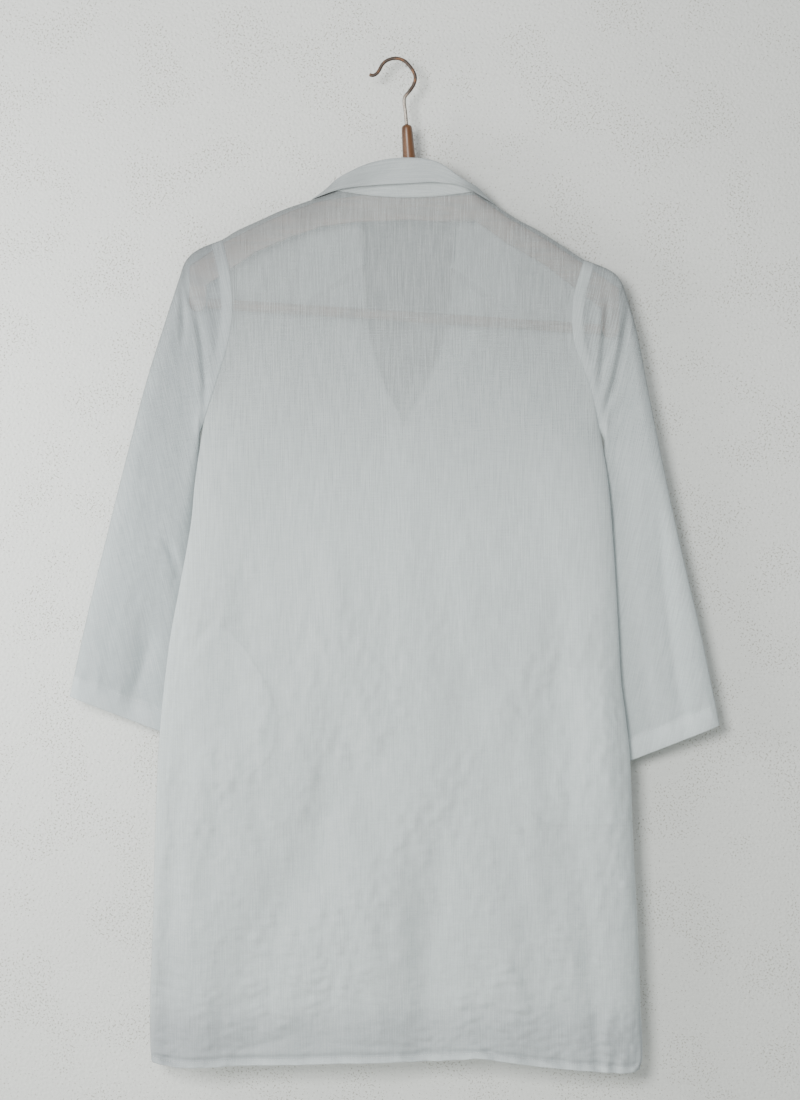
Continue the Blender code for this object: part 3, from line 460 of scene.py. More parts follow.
@dataclass
class TunicForm:
    """The middle surface of the tunic's cloth, as the hanger holds it."""

    seam_half: float = 0.24
    shoulder_roll: float = 14.0
    back_neck_drop: float = 7.5
    front_extra_scoop: float = 5.0
    armhole_half_depth: float = 9.5
    side_reach: float = 60.0
    armhole_reach: float = 75.0
    side_lean: float = -6.0
    lean_reach: float = 90.0
    lean_full_z: float = -440.0
    lean_run: float = 75.0
    fold_fade: float = 24.0
    crease_fade: float = 9.0
    sleeve_outer_reach: float = 26.0
    sleeve_inner_reach: float = 30.0
    scoop_fade: float = 0.22
    hem_sink: float = 3.6
    hem_sink_reach: float = 62.0
    hem_flare: float = 3.2
    hem_flare_reach: float = 5.5
    hem_seam: Triple = (6.8, 1.7, 2.3)
    cuff_seam: Triple = (21.0, 2.2, 1.3)
    cuff_puff: float = 0.9
    hem_pucker_reach: float = 9.0
    cuff_pucker_reach: float = 8.0
    edge_calm: float = 6.0
    sleeve_crinkle_shift: float = 120.0
    crinkle: float = 2.2
    sleeve_crinkle: float = 0.4
    crinkle_high: float = 0.15
    crinkle_levels: tuple[float, float] = (-360.0, -680.0)

    def __post_init__(self) -> None:
        """Lay the smooth curves through the tables and draw the crinkles of each face."""
        self.crinkles = {BACK: Crinkles(4), FRONT: Crinkles(9)}
        self.side_x = {side: Curve(SIDES, 1 + side.index) for side in Side}
        self.hem_z = Curve(HEM, 1)
        self.ridge_z = Curve(RIDGE, 1)
        self.scoop = {side: Curve(ARMHOLE_SCOOP, 1 + side.index) for side in Side}
        self.opening_x = {side: Curve(FRONT_OPENING, 1 + side.index) for side in Side}
        self.depth = {face: Curve(DEPTHS, 1 if face is BACK else 2) for face in Face}
        self.ring = {side: [Curve(SLEEVE_RINGS[side.index], i) for i in range(1, 7)] for side in Side}

    def armhole(self, side: Side, along: Array, face: Face) -> tuple[Array, Array]:
        """Points (x, z) of the armhole seam, from the shoulder end at 0 to the underarm at 1."""
        along = np.asarray(along, float)
        top, low = SHOULDER_END[side.index], UNDERARM[side.index]
        scoop = self.scoop[side].at(along)
        if face is FRONT:
            scoop = scoop + self.front_extra_scoop * np.sin(np.pi * along)
        return mix(top[0], low[0], along) - side.value * scoop, mix(top[1], low[1], along)

    def side_edge(self, side: Side, z: Array, face: Face) -> tuple[Array, Array]:
        """Edge of the body at each height.

        Args:
            side: Left or right.
            z: Heights.
            face: Back or front.

        Returns:
            Edge x, and how far up the armhole it is, which is over 1 below the underarm.
        """
        top, low = SHOULDER_END[side.index][1], UNDERARM[side.index][1]
        along = (top - z) / (top - low)
        held = np.clip(along, 0.0, 1.0)
        edge = np.where(along >= 1, self.side_x[side].at(z), self.armhole(side, held, face)[0])
        return edge, np.where(along >= 1, 2.0, held)

    def crinkle_lift(self, x: Array, z: Array, face: Face) -> Array:
        """Lift of the small crinkles, which are stronger low down where the cloth hangs free."""
        high, low = self.crinkle_levels
        share = mix(self.crinkle_high, 1.0, ease((high - z) / (high - low)))
        return self.crinkle * share * self.crinkles[face].at(x, z)

    def hem_relief(self, x: Array, z: Array, face: Face) -> Array:
        """How the cloth sinks towards the hem, dips and puckers at its stitching, and flares at its edge."""
        up = np.maximum(z - self.hem_z.at(x), 0.0)
        at, half, dip = self.hem_seam
        shift = 0.0 if face is BACK else 31.0
        pull = puckered(HEM_PUCKERS, x * face.value * -1 + shift)
        wave = 1 + 0.18 * puckered(HEM_PUCKERS, x * 0.4 + 20)
        sink = self.hem_sink * ease(1 - up / self.hem_sink_reach) * wave
        flare = self.hem_flare * (1 - ease(up / self.hem_flare_reach))
        return flare - sink - dip * bell(up - at, half) + pull * bell(up - at, self.hem_pucker_reach)

    def cuff_relief(self, up: Array, across: Array, face: Face) -> Array:
        """How a cuff puffs, with its line of stitching and its puckers, at heights above its edge."""
        at, half, dip = self.cuff_seam
        pull = puckered(CUFF_PUCKERS, across if face is BACK else 1 - across)
        puff = self.cuff_puff * np.sin(np.pi * np.clip(up / at, 0, 1))
        return puff - dip * bell(up - at, half) + pull * bell(up - at, self.cuff_pucker_reach)

    def body_y(self, x: Array, z: Array, face: Face) -> Array:
        """Depth of the middle surface of the back or front at points (x, z)."""
        x, z = np.asarray(x, float), np.asarray(z, float)
        full = self.depth[face].at(z)
        spread, near = 1.0, 1e9
        for side in Side:
            edge, along = self.side_edge(side, z, face)
            inward = (edge - x) * side.value
            near = np.minimum(near, inward)
            rounded = quarter_round(inward, self.side_reach)
            up = np.minimum(along, 1.0)
            held = self.armhole_half_depth / full * np.sqrt(np.maximum(1 - up**4, 0.0))
            flat = mix(rounded, ease(inward / self.armhole_reach), ease((1 - up) / 0.25))
            spread = spread * np.where(along > 1.5, rounded, held + (1 - held) * flat)
        roll = quarter_round((self.ridge_z.at(x) - z) * 0.93, self.shoulder_roll)
        lean_share = 1 - ease((z - self.lean_full_z) / self.lean_run)
        lean = self.side_lean * lean_share * (1 - ease(near / self.lean_reach))
        crease = (fold_height(BODY_FOLDS, x, z, face) * ease(near / self.fold_fade)
                  + fold_height(BODY_CREASES, x, z, face) * ease(near / self.crease_fade)
                  + (self.hem_relief(x, z, face) + self.crinkle_lift(x, z, face)) * ease(near / self.edge_calm))
        return lean + face.value * (self.seam_half + full * spread * roll + crease)

    def sleeve_point(self, side: Side, along: Array, across: Array, face: Face) -> Array:
        """Middle surface of a sleeve.

        Args:
            side: Left or right.
            along: Shares from the armhole to the cuff.
            across: Shares from the outer to the inner edge.
            face: Back or front half of the tube.

        Returns:
            Points, with x, y, z last.
        """
        outer_x, outer_z, inner_x, inner_z, half_depth, tuck = (c.at(along) for c in self.ring[side])
        x, z = mix(outer_x, inner_x, across), mix(outer_z, inner_z, across)
        top, low = SHOULDER_END[side.index], UNDERARM[side.index]
        seam_x, seam_z = self.armhole(side, across, face)
        x = x + (seam_x - mix(top[0], low[0], across)) * np.maximum(1 - along / self.scoop_fade, 0.0) ** 2
        width = np.hypot(outer_x - inner_x, outer_z - inner_z)
        rounded = (quarter_round(across * width, self.sleeve_outer_reach)
                   * quarter_round((1 - across) * width, self.sleeve_inner_reach))
        down = (self.ridge_z.at(seam_x) - seam_z) * 0.93
        at_seam = (self.armhole_half_depth * np.sqrt(np.maximum(1 - across**4, 0.0))
                   * quarter_round(down, self.shoulder_roll))
        half = mix(at_seam, half_depth * rounded, ease(along / 0.15))
        near = np.minimum(across, 1 - across) * width
        start = ease(along / 0.08)
        crease = (fold_height(SLEEVE_FOLDS, x, z, face) * ease(near / self.fold_fade) * ease(along / 0.2)
                  + fold_height(SLEEVE_CREASES, x, z, face) * ease(near / self.crease_fade) * start)
        end = [c.at(1.0) for c in self.ring[side][:4]]
        above = np.hypot(x - mix(end[0], end[2], across), z - mix(end[1], end[3], across))
        crinkle = self.sleeve_crinkle * self.crinkle_lift(x, z - self.sleeve_crinkle_shift, face)
        crease = crease + (self.cuff_relief(above, across, face) + crinkle) * ease(near / self.edge_calm) * start
        y = tuck * across**1.5 + face.value * (half + crease)
        return np.stack(np.broadcast_arrays(x, y, z), axis=-1)

    def back_neck(self, share: Array) -> tuple[Array, Array]:
        """Points (x, z) of the back neck seam from left to right."""
        share = np.asarray(share, float)
        x = mix(NECK_POINT[0][0], NECK_POINT[1][0], share)
        z = mix(NECK_POINT[0][1], NECK_POINT[1][1], share)
        return x, z - self.back_neck_drop * (1 - (2 * share - 1) ** 2)

    def on_front(self, x: Array, z: Array, lift: Array | float) -> Array:
        """Points at a distance outside the front's middle surface."""
        return np.stack(np.broadcast_arrays(x, self.body_y(x, z, FRONT) + lift, z), axis=-1)

    def opening_edge(self, side: Side, z: Array, lift_out: Array | float, lift_up: Array | float) -> Array:
        """Points beside the edge of the open front neck, square out into the opening and off the cloth."""
        z = np.asarray(z, float)
        x = self.opening_x[side].at(z)
        slant = self.opening_x[side].at(z + 1) - self.opening_x[side].at(z - 1)
        length = np.hypot(slant, 2)
        toward = -side.value * np.asarray(lift_out)
        y = self.body_y(x, z, FRONT) + lift_up
        return np.stack(np.broadcast_arrays(x + toward * 2 / length, y, z - toward * slant / length), axis=-1)


class Grid:
    """Rows of points through a sheet of cloth, with a place in the cut for each."""

    def __init__(self, points: Array, ringed: bool = False, grain: float | None = None,
                 lined: Callable[[Array], Array] | None = None) -> None:
        """Take points as rows by columns by x, y, z in millimetres.

        Args:
            points: The points.
            ringed: The last column joins the first.
            grain: Lean of the threads from upright in degrees, or None where they follow the grid.
            lined: How far there is more cloth pressed behind each point, from 0 to 1.
        """
        self.points = np.asarray(points, float)
        self.ringed = ringed
        self.grain = grain
        self.lined = lined

    def like(self, points: Array) -> Grid:
        """Grid through other points with this one's threads and layers."""
        return Grid(points, self.ringed, self.grain, self.lined)

    def layers(self) -> Array:
        """How much more cloth lies behind each point, in the order of the points."""
        flat = self.points.reshape(-1, 3)
        return np.zeros(len(flat)) if self.lined is None else np.clip(self.lined(flat), 0.0, 1.0)

    def column_line(self, column: int, lift: float) -> Array:
        """Points down a column, raised off the cloth."""
        return (self.points + self.normals() * lift)[:, column]

    def normals(self) -> Array:
        """Direction square to the cloth at each point, on the side that rows crossed with columns give."""
        down = np.gradient(self.points, axis=0)
        if self.ringed:
            over = np.roll(self.points, -1, axis=1) - np.roll(self.points, 1, axis=1)
        else:
            over = np.gradient(self.points, axis=1)
        square = np.cross(over, down)
        return square / np.maximum(np.linalg.norm(square, axis=-1, keepdims=True), 1e-9)

    def facing(self, direction: Callable[[Array], Array]) -> Grid:
        """This grid with its columns turned round if its normals don't point the given way."""
        if float((self.normals() * direction(self.points)).sum()) < 0:
            return self.like(self.points[:, ::-1])
        return self

    def steps(self) -> Array:
        """Distance down each column from the first row to each row."""
        gaps = np.linalg.norm(np.diff(self.points, axis=0), axis=-1)
        return np.vstack([np.zeros(gaps.shape[1]), np.cumsum(gaps, axis=0)])

    def turned(self, width: float, radius: float, rows: int = 7) -> Grid:
        """Carry the cloth on from its first row, round a fold and back along its inside.

        Args:
            width: How far the turned part reaches back.
            radius: Radius of the fold.
            rows: How many rows the turned part has.

        Returns:
            Grid whose first rows are the turned part.
        """
        steps, normals = self.steps(), self.normals()
        inner = []
        for height in np.linspace(width, 0.0, rows):
            spot = np.array([[np.interp(height, steps[:, c], self.points[:, c, k]) for k in range(3)]
                             for c in range(self.points.shape[1])])
            side = np.array([[np.interp(height, steps[:, c], normals[:, c, k]) for k in range(3)]
                             for c in range(self.points.shape[1])])
            side /= np.linalg.norm(side, axis=-1, keepdims=True)
            inner.append(spot - side * 2 * radius)
        along = self.points[0] - self.points[1]
        along /= np.maximum(np.linalg.norm(along, axis=-1, keepdims=True), 1e-9)
        bend = []
        for angle in (45, 90, 135):
            turn = math.radians(angle)
            inward = normals[0] * radius * (1 + math.cos(turn))
            bend.append(self.points[0] - inward + along * radius * math.sin(turn))
        return self.like(np.concatenate([np.array(inner), np.array(bend), self.points]))

    def line_at(self, height: float, lift: float) -> Array:
        """Points along a row at a distance from the first row, raised off the cloth."""
        steps, raised = self.steps(), self.points + self.normals() * lift
        line = np.array([[np.interp(height, steps[:, c], raised[:, c, k]) for k in range(3)]
                         for c in range(raised.shape[1])])
        return np.concatenate([line, line[:1]]) if self.ringed else line

    def flipped(self) -> Grid:
        """Grid with its rows in the other order, and its columns too, so that the normals stay."""
        return self.like(self.points[::-1, ::-1])

    def area(self) -> float:
        """Area of the cloth in square metres."""
        p = self.points
        if self.ringed:
            p = np.concatenate([p, p[:, :1]], axis=1)
        a, b, c, d = p[:-1, :-1], p[1:, :-1], p[1:, 1:], p[:-1, 1:]
        one = np.linalg.norm(np.cross(b - a, c - a), axis=-1)
        two = np.linalg.norm(np.cross(c - a, d - a), axis=-1)
        return float((one + two).sum() / 2) * MM * MM

    def span(self) -> tuple[float, float]:
        """Longest row and longest column in metres."""
        p = np.concatenate([self.points, self.points[:, :1]], axis=1) if self.ringed else self.points
        rows = np.linalg.norm(np.diff(p, axis=1), axis=-1).sum(axis=1)
        columns = np.linalg.norm(np.diff(p, axis=0), axis=-1).sum(axis=0)
        return float(rows.max()) * MM, float(columns.max()) * MM

    def cut_places(self) -> Array:
        """Place of each point in the flat cut: metres across from the middle, and metres down."""
        p = np.concatenate([self.points, self.points[:, :1]], axis=1) if self.ringed else self.points
        if self.grain is not None:
            lean = math.radians(self.grain)
            x, z, cos, sin = p[..., 0], p[..., 2], math.cos(lean), math.sin(lean)
            return np.stack([x * cos + z * sin, z * cos - x * sin], axis=-1) * MM
        gaps = np.linalg.norm(np.diff(p, axis=1), axis=-1)
        across = np.concatenate([np.zeros((p.shape[0], 1)), np.cumsum(gaps, axis=1)], axis=1)
        across -= across[:, -1:] / 2
        down = np.concatenate([np.zeros((1, p.shape[1])),
                               np.cumsum(np.linalg.norm(np.diff(p, axis=0), axis=-1), axis=0)])
        return np.stack([across, down], axis=-1) * MM


class NodeTree:
    """Short way to add and join nodes."""

    def __init__(self, tree: bpy.types.NodeTree) -> None:
        """Work in this tree, after taking out what is in it."""
        self.tree = tree
        tree.nodes.clear()

    def add(self, kind: str, inputs: dict | None = None, **settings) -> bpy.types.Node:
        """New node.

        Args:
            kind: Blender's name of the node.
            inputs: Socket name or number to a value or to an output socket.
            settings: Properties of the node.

        Returns:
            The node.
        """
        node = self.tree.nodes.new(kind)
        for key, value in settings.items():
            setattr(node, key, value)
        for key, value in (inputs or {}).items():
            if isinstance(value, bpy.types.NodeSocket):
                self.tree.links.new(value, node.inputs[key])
            else:
                node.inputs[key].default_value = value
        return node

    def math(self, operation: str, a, b=0.0, clamp: bool = False) -> bpy.types.NodeSocket:
        """Output of a Math node."""
        return self.add("ShaderNodeMath", {0: a, 1: b}, operation=operation, use_clamp=clamp).outputs[0]

    def plus(self, a, b, clamp: bool = False) -> bpy.types.NodeSocket:
        """Sum of a and b, held between 0 and 1 if it is clamped."""
        return self.math("ADD", a, b, clamp)

    def minus(self, a, b) -> bpy.types.NodeSocket:
        """What is left of a without b."""
        return self.math("SUBTRACT", a, b)

    def times(self, a, b) -> bpy.types.NodeSocket:
        """Product of a and b."""
        return self.math("MULTIPLY", a, b)

    def object_place(self) -> bpy.types.NodeSocket:
        """Place in the piece's own coordinates."""
        return self.add("ShaderNodeTexCoord").outputs["Object"]

    def parts(self, vector: bpy.types.NodeSocket) -> bpy.types.bpy_prop_collection:
        """The three parts of a vector."""
        return self.add("ShaderNodeSeparateXYZ", {0: vector}).outputs

    def scaled(self, vector: bpy.types.NodeSocket, scale: Sequence[float]) -> bpy.types.NodeSocket:
        """Vector with each of its parts times a number."""
        node = self.add("ShaderNodeVectorMath", {0: vector, 1: tuple(scale)}, operation="MULTIPLY")
        return node.outputs[0]

    def noise(self, vector: bpy.types.NodeSocket, scale, detail: float = 2.0, rough: float = 0.5,
              space: str = "3D") -> bpy.types.NodeSocket:
        """Height of a noise, about 0.5 on average."""
        return self.add("ShaderNodeTexNoise", {"Vector": vector, "Scale": scale, "Detail": detail,
                                               "Roughness": rough}, noise_dimensions=space).outputs["Fac"]

    def cut_noise(self, vector: bpy.types.NodeSocket, scale: Sequence[float],
                  detail: float = 0.0) -> bpy.types.NodeSocket:
        """Noise over a flat place, with a scale across and down, turned so that its cells don't line up."""
        place = self.add("ShaderNodeMapping", {"Vector": vector, "Scale": (*scale, 1.0),
                                               "Rotation": (0.0, 0.0, NOISE_TURN)})
        return self.noise(place.outputs[0], 1.0, detail, 0.55, "2D")

    def ramp(self, value: bpy.types.NodeSocket, low: float, high: float, start: float = 0.0,
             end: float = 1.0) -> bpy.types.NodeSocket:
        """Value taken smoothly from low..high to start..end."""
        ends = {"Value": value, "From Min": low, "From Max": high, "To Min": start, "To Max": end}
        return self.add("ShaderNodeMapRange", ends, interpolation_type="SMOOTHSTEP").outputs["Result"]

    def blend(self, share, a, b, mode: str = "MIX") -> bpy.types.NodeSocket:
        """Colour between a and b."""
        node = self.add("ShaderNodeMix", {0: share}, data_type="RGBA", blend_type=mode)
        for socket, value in ((node.inputs[6], a), (node.inputs[7], b)):
            if isinstance(value, bpy.types.NodeSocket):
                self.tree.links.new(value, socket)
            else:
                socket.default_value = (*value, 1.0)
        return node.outputs[2]


class ShaderGroups:
    """Effects that several finishes share, each a node group made once."""

    def __init__(self) -> None:
        """Make the groups."""
        self.threads = self._threads()
        self.grain = self._grain()
        self.wear = self._wear()

    @staticmethod
    def _group(name: str, inputs: dict,
               outputs: dict) -> tuple[bpy.types.NodeTree, NodeTree, bpy.types.Node]:
        """Empty group with its sockets.

        Args:
            name: Name of the group.
            inputs: Socket name to (socket type, default).
            outputs: Socket name to socket type.

        Returns:
            The group, its tree helper and its input node.
        """
        group = bpy.data.node_groups.new(name, "ShaderNodeTree")
        for socket, (kind, value) in inputs.items():
            made = group.interface.new_socket(socket, in_out="INPUT", socket_type=kind)
            if value is not None:
                made.default_value = value
        for socket, kind in outputs.items():
            group.interface.new_socket(socket, in_out="OUTPUT", socket_type=kind)
        tree = NodeTree(group)
        return group, tree, tree.add("NodeGroupInput")

    @staticmethod
    def _close(tree: NodeTree, values: dict) -> None:
        """Join values to the group's outputs by name."""
        tree.add("NodeGroupOutput", values)

    def _threads(self) -> bpy.types.NodeTree:
        """Plain weave with slubs: height of the threads, thick threads and open places."""
        group, tree, given = self._group(
            "linen_threads",
            {"Cut": ("NodeSocketVector", None), "Thread pitch": ("NodeSocketFloat", 0.00062),
             "Slub seed": ("NodeSocketFloat", 0.0)},
            {"Height": "NodeSocketFloat", "Slub": "NodeSocketFloat", "Openness": "NodeSocketFloat",
             "Tone": "NodeSocketFloat"},
        )
        cut, pitch, seed = given.outputs[0], given.outputs[1], given.outputs[2]
        moved = tree.add("ShaderNodeVectorMath", {0: cut, 1: seed}, operation="ADD").outputs[0]
        over, down, _ = tree.parts(cut)
        turns = tree.math("DIVIDE", math.tau / 2, pitch)
        warp = tree.math("SINE", tree.times(over, turns))
        weft = tree.math("SINE", tree.times(down, turns))
        streak_down = tree.cut_noise(moved, (1250.0, 34.0))
        streak_over = tree.cut_noise(moved, (46.0, 1120.0))
        thick_down = tree.ramp(streak_down, 0.50, 0.80)
        thick_over = tree.ramp(streak_over, 0.52, 0.82)
        slub = tree.plus(thick_down, tree.times(thick_over, 0.45), clamp=True)
        thin_down = tree.ramp(streak_down, 0.50, 0.22)
        thin_over = tree.ramp(streak_over, 0.48, 0.22)
        openness = tree.plus(thin_down, tree.times(thin_over, 0.3), clamp=True)
        tone = tree.cut_noise(moved, (470.0, 600.0))
        height = tree.times(tree.times(warp, weft), 0.4)
        self._close(tree, {"Height": height, "Slub": slub, "Openness": openness, "Tone": tone})
        return group

    def _grain(self) -> bpy.types.NodeTree:
        """Wood grain along the vector's first part: streaks, pores and slow changes of tone."""
        group, tree, given = self._group(
            "wood_grain", {"Along": ("NodeSocketVector", None)},
            {"Streaks": "NodeSocketFloat", "Pores": "NodeSocketFloat", "Tone": "NodeSocketFloat"},
        )
        along = given.outputs[0]
        bent = tree.noise(tree.scaled(along, (5.0, 40.0, 40.0)), 1.0, 2.0)
        rings = tree.math("SINE", tree.times(bent, 46.0))
        fine = tree.noise(tree.scaled(along, (26.0, 900.0, 900.0)), 1.0, 2.0)
        streaks = tree.plus(tree.ramp(rings, -1.0, 1.0, 0.0, 0.6), tree.times(fine, 0.5), True)
        pores = tree.ramp(tree.noise(tree.scaled(along, (90.0, 1900.0, 1900.0)), 1.0, 1.0), 0.62, 0.74)
        tone = tree.noise(along, 22.0, 3.0)
        self._close(tree, {"Streaks": streaks, "Pores": pores, "Tone": tone})
        return group

    def _wear(self) -> bpy.types.NodeTree:
        """Rubbed and rusty places on a wire."""
        group, tree, given = self._group(
            "wire_wear", {"Place": ("NodeSocketVector", None)},
            {"Rust": "NodeSocketFloat", "Pits": "NodeSocketFloat"},
        )
        place = given.outputs[0]
        rust = tree.ramp(tree.noise(place, 210.0, 4.0, 0.62), 0.46, 0.62)
        pits = tree.noise(place, 1500.0, 3.0, 0.6)
        self._close(tree, {"Rust": rust, "Pits": pits})
        return group


class Finish:
    """A material with its Principled shader, and the helper for its nodes."""

    def __init__(self, name: str) -> None:
        """Start a material.

        Args:
            name: Name of the material.
        """
        self.material = bpy.data.materials.new(name)
        self.material.use_nodes = True
        self.nodes = NodeTree(self.material.node_tree)
        self.shader = self.nodes.add("ShaderNodeBsdfPrincipled")
        self.output = self.nodes.add("ShaderNodeOutputMaterial", {"Surface": self.shader.outputs[0]})

    def group(self, group: bpy.types.NodeTree, inputs: dict) -> bpy.types.Node:
        """Node that places a shared group, with values for its inputs."""
        node = self.nodes.add("ShaderNodeGroup", node_tree=group)
        for key, value in inputs.items():
            if isinstance(value, bpy.types.NodeSocket):
                self.nodes.tree.links.new(value, node.inputs[key])
            else:
                node.inputs[key].default_value = value
        return node

    def feed(self, **values) -> None:
        """Give the shader's sockets values or join outputs to them; _ stands for a space."""
        for key, value in values.items():
            socket = self.shader.inputs[key.replace("_", " ")]
            if isinstance(value, bpy.types.NodeSocket):
                self.nodes.tree.links.new(value, socket)
            else:
                socket.default_value = value

    def bump(self, height: bpy.types.NodeSocket, distance: float,
             strength: float = 1.0) -> bpy.types.NodeSocket:
        """Normal from a height."""
        return self.nodes.add("ShaderNodeBump", {"Height": height, "Distance": distance,
                                                 "Strength": strength}).outputs[0]


@dataclass(frozen=True)
class LinenFinish:
    """Sheer undyed-white linen: see-through, slubby and matt, with painted shade in its colour.

    Pairs of levels are heights in metres, from where an effect starts to where it is whole.
    """

    name: str
    colour: Triple = (0.765, 0.835, 0.83)
    slub_colour: Triple = (0.92, 0.95, 0.945)
    thin_colour: Triple = (0.58, 0.635, 0.655)
    # Painted shade: shade_colour darkens the upper part and the shoulders, and the hem's shade colour darkens the
    # band above the hem and its lower left corner.
    shade_colour: Triple = (0.02, 0.02, 0.03)
    hem_shade_colour: Triple = (0.07, 0.06, 0.12)
    opacity: float = 0.31
    low_opacity: float = 0.115
    lined_opacity: float = 0.17
    thread_opacity: float = 0.10
    slub_tint: float = 0.38
    thin_tint: float = 0.28
    tone_tint: float = 0.20
    lined_tint: float = 0.11
    low_levels: tuple[float, float] = (-0.17, -0.52)
    thread_levels: tuple[float, float] = (-0.30, -0.70)
    thread_strength: tuple[float, float] = (0.62, 0.30)
    # Strengths of the painted shade over the upper part, above the hem, at the hem's lower left corner and over
    # the shoulders.
    top_shade: float = 0.275
    hem_shade: float = 0.18
    hem_levels: tuple[float, float] = (-0.93, -0.975)
    corner_shade: float = 0.12
    corner_reach: tuple[float, float] = (-0.13, -0.23)
    corner_levels: tuple[float, float] = (-0.82, -0.93)
    shoulder_shade: float = 0.22
    shoulder_least: float = 0.02
    shoulder_reach: tuple[float, float] = (0.02, -0.08)
    shoulder_centre: float = 0.009
    shoulder_slope: float = 0.49
    shoulder_levels: tuple[float, float] = (-0.132, -0.096)
    roughness: float = 0.88
    sheen: float = 0.12
    weave: float = 0.00022
    seed: float = 0.0

    def make(self, groups: ShaderGroups) -> bpy.types.Material:
        """Build the material.

        Args:
            groups: The shared node groups.

        Returns:
            The material.
        """
        finish = Finish(self.name)
        tree = finish.nodes
        cut = tree.add("ShaderNodeUVMap", uv_map="cut").outputs[0]
        threads = finish.group(groups.threads, {"Cut": cut, "Slub seed": self.seed})
        slub, thin, tone = (threads.outputs[n] for n in ("Slub", "Openness", "Tone"))
        layers = tree.add("ShaderNodeAttribute", attribute_name="layers").outputs["Fac"]
        across, _, up = tree.parts(tree.object_place())
        low = tree.ramp(up, *self.low_levels)
        strength = tree.ramp(up, *self.thread_levels, *self.thread_strength)
        slub, thin = tree.times(slub, strength), tree.times(thin, strength)
        colour = tree.blend(tree.times(slub, self.slub_tint), self.colour, self.slub_colour)
        colour = tree.blend(tree.times(thin, self.thin_tint), colour, self.thin_colour)
        colour = tree.blend(tree.ramp(tone, 0.28, 0.72, 0.0, self.tone_tint), colour, self.thin_colour)
        # Painted shade: darker in a band above the hem, at its lower left corner, over the upper part and over the
        # shoulders.
        colour = tree.blend(self._at_hem(tree, across, up, layers), colour, self.hem_shade_colour)
        top = tree.times(tree.minus(1.0, low), self.top_shade)
        colour = tree.blend(tree.plus(self._at_shoulders(tree, across, up), top), colour, self.shade_colour)
        colour = tree.blend(tree.times(layers, self.lined_tint), colour, self.slub_colour)
        alpha = tree.plus(tree.times(slub, self.thread_opacity), self.opacity)
        alpha = tree.plus(alpha, tree.times(low, self.low_opacity))
        alpha = tree.minus(alpha, tree.times(thin, self.thread_opacity))
        alpha = tree.plus(alpha, tree.times(layers, self.lined_opacity), clamp=True)
        normal = finish.bump(threads.outputs["Height"], self.weave, 0.8)
        finish.feed(Base_Color=colour, Alpha=alpha, Normal=normal, Roughness=self.roughness,
                    Sheen_Weight=self.sheen, Sheen_Roughness=0.5, Specular_IOR_Level=0.0)
        return finish.material

    def _at_hem(self, tree: NodeTree, across: bpy.types.NodeSocket, up: bpy.types.NodeSocket,
                layers: bpy.types.NodeSocket) -> bpy.types.NodeSocket:
        """Share of the painted shade above the hem: a band above the rolled edge, and the lower left corner."""
        corner = tree.times(tree.ramp(across, *self.corner_reach), tree.ramp(up, *self.corner_levels))
        band = tree.times(tree.ramp(up, *self.hem_levels), self.hem_shade)
        return tree.times(tree.plus(band, tree.times(corner, self.corner_shade)), tree.minus(1.0, layers))

    def _at_shoulders(self, tree: NodeTree, across: bpy.types.NodeSocket,
                      up: bpy.types.NodeSocket) -> bpy.types.NodeSocket:
        """Share of the painted shade where the cloth rounds over the shoulders, stronger at the left one."""
        aside = tree.math("ABSOLUTE", tree.minus(across, self.shoulder_centre))
        ridge = tree.ramp(tree.plus(up, tree.times(aside, self.shoulder_slope)), *self.shoulder_levels)
        return tree.times(ridge, tree.ramp(across, *self.shoulder_reach, self.shoulder_least, self.shoulder_shade))


@dataclass(frozen=True)
class ThreadFinish:
    """White cotton sewing thread."""

    name: str = "sewing_thread"
    colour: Triple = (0.66, 0.68, 0.67)
    shade: Triple = (0.50, 0.52, 0.51)

    def make(self, groups: ShaderGroups) -> bpy.types.Material:
        """Build the material."""
        finish = Finish(self.name)
        tree = finish.nodes
        place = tree.object_place()
        ply = tree.noise(place, 2600.0, 2.0)
        colour = tree.blend(tree.ramp(ply, 0.35, 0.65), self.colour, self.shade)
        normal = finish.bump(ply, 0.0001, 0.6)
        finish.feed(Base_Color=colour, Roughness=0.8, Normal=normal, Sheen_Weight=0.1)
        return finish.material


@dataclass(frozen=True)
class WoodFinish:
    """Varnished orange-brown wood with its grain along one direction."""

    name: str
    turn: Triple = (0.0, 0.0, 0.0)
    dark: Triple = (0.055, 0.024, 0.010)
    light: Triple = (0.175, 0.080, 0.030)
    pores: Triple = (0.06, 0.022, 0.01)
    stain: Triple = (0.145, 0.064, 0.025)

    def make(self, groups: ShaderGroups) -> bpy.types.Material:
        """Build the material."""
        finish = Finish(self.name)
        tree = finish.nodes
        place = tree.object_place()
        along = tree.add("ShaderNodeMapping", {"Vector": place, "Rotation": self.turn}).outputs[0]
        grain = finish.group(groups.grain, {"Along": along})
        colour = tree.blend(grain.outputs["Streaks"], self.dark, self.light)
        colour = tree.blend(tree.times(grain.outputs["Pores"], 0.6), colour, self.pores)
        tone = grain.outputs["Tone"]
        colour = tree.blend(tree.ramp(tone, 0.35, 0.7, 0.0, 0.35), colour, self.stain)
        rough = tree.ramp(tone, 0.3, 0.7, 0.34, 0.52)
        normal = finish.bump(grain.outputs["Streaks"], 0.0002, 0.5)
        finish.feed(Base_Color=colour, Roughness=rough, Normal=normal, Coat_Weight=0.25, Coat_Roughness=0.3)
        return finish.material


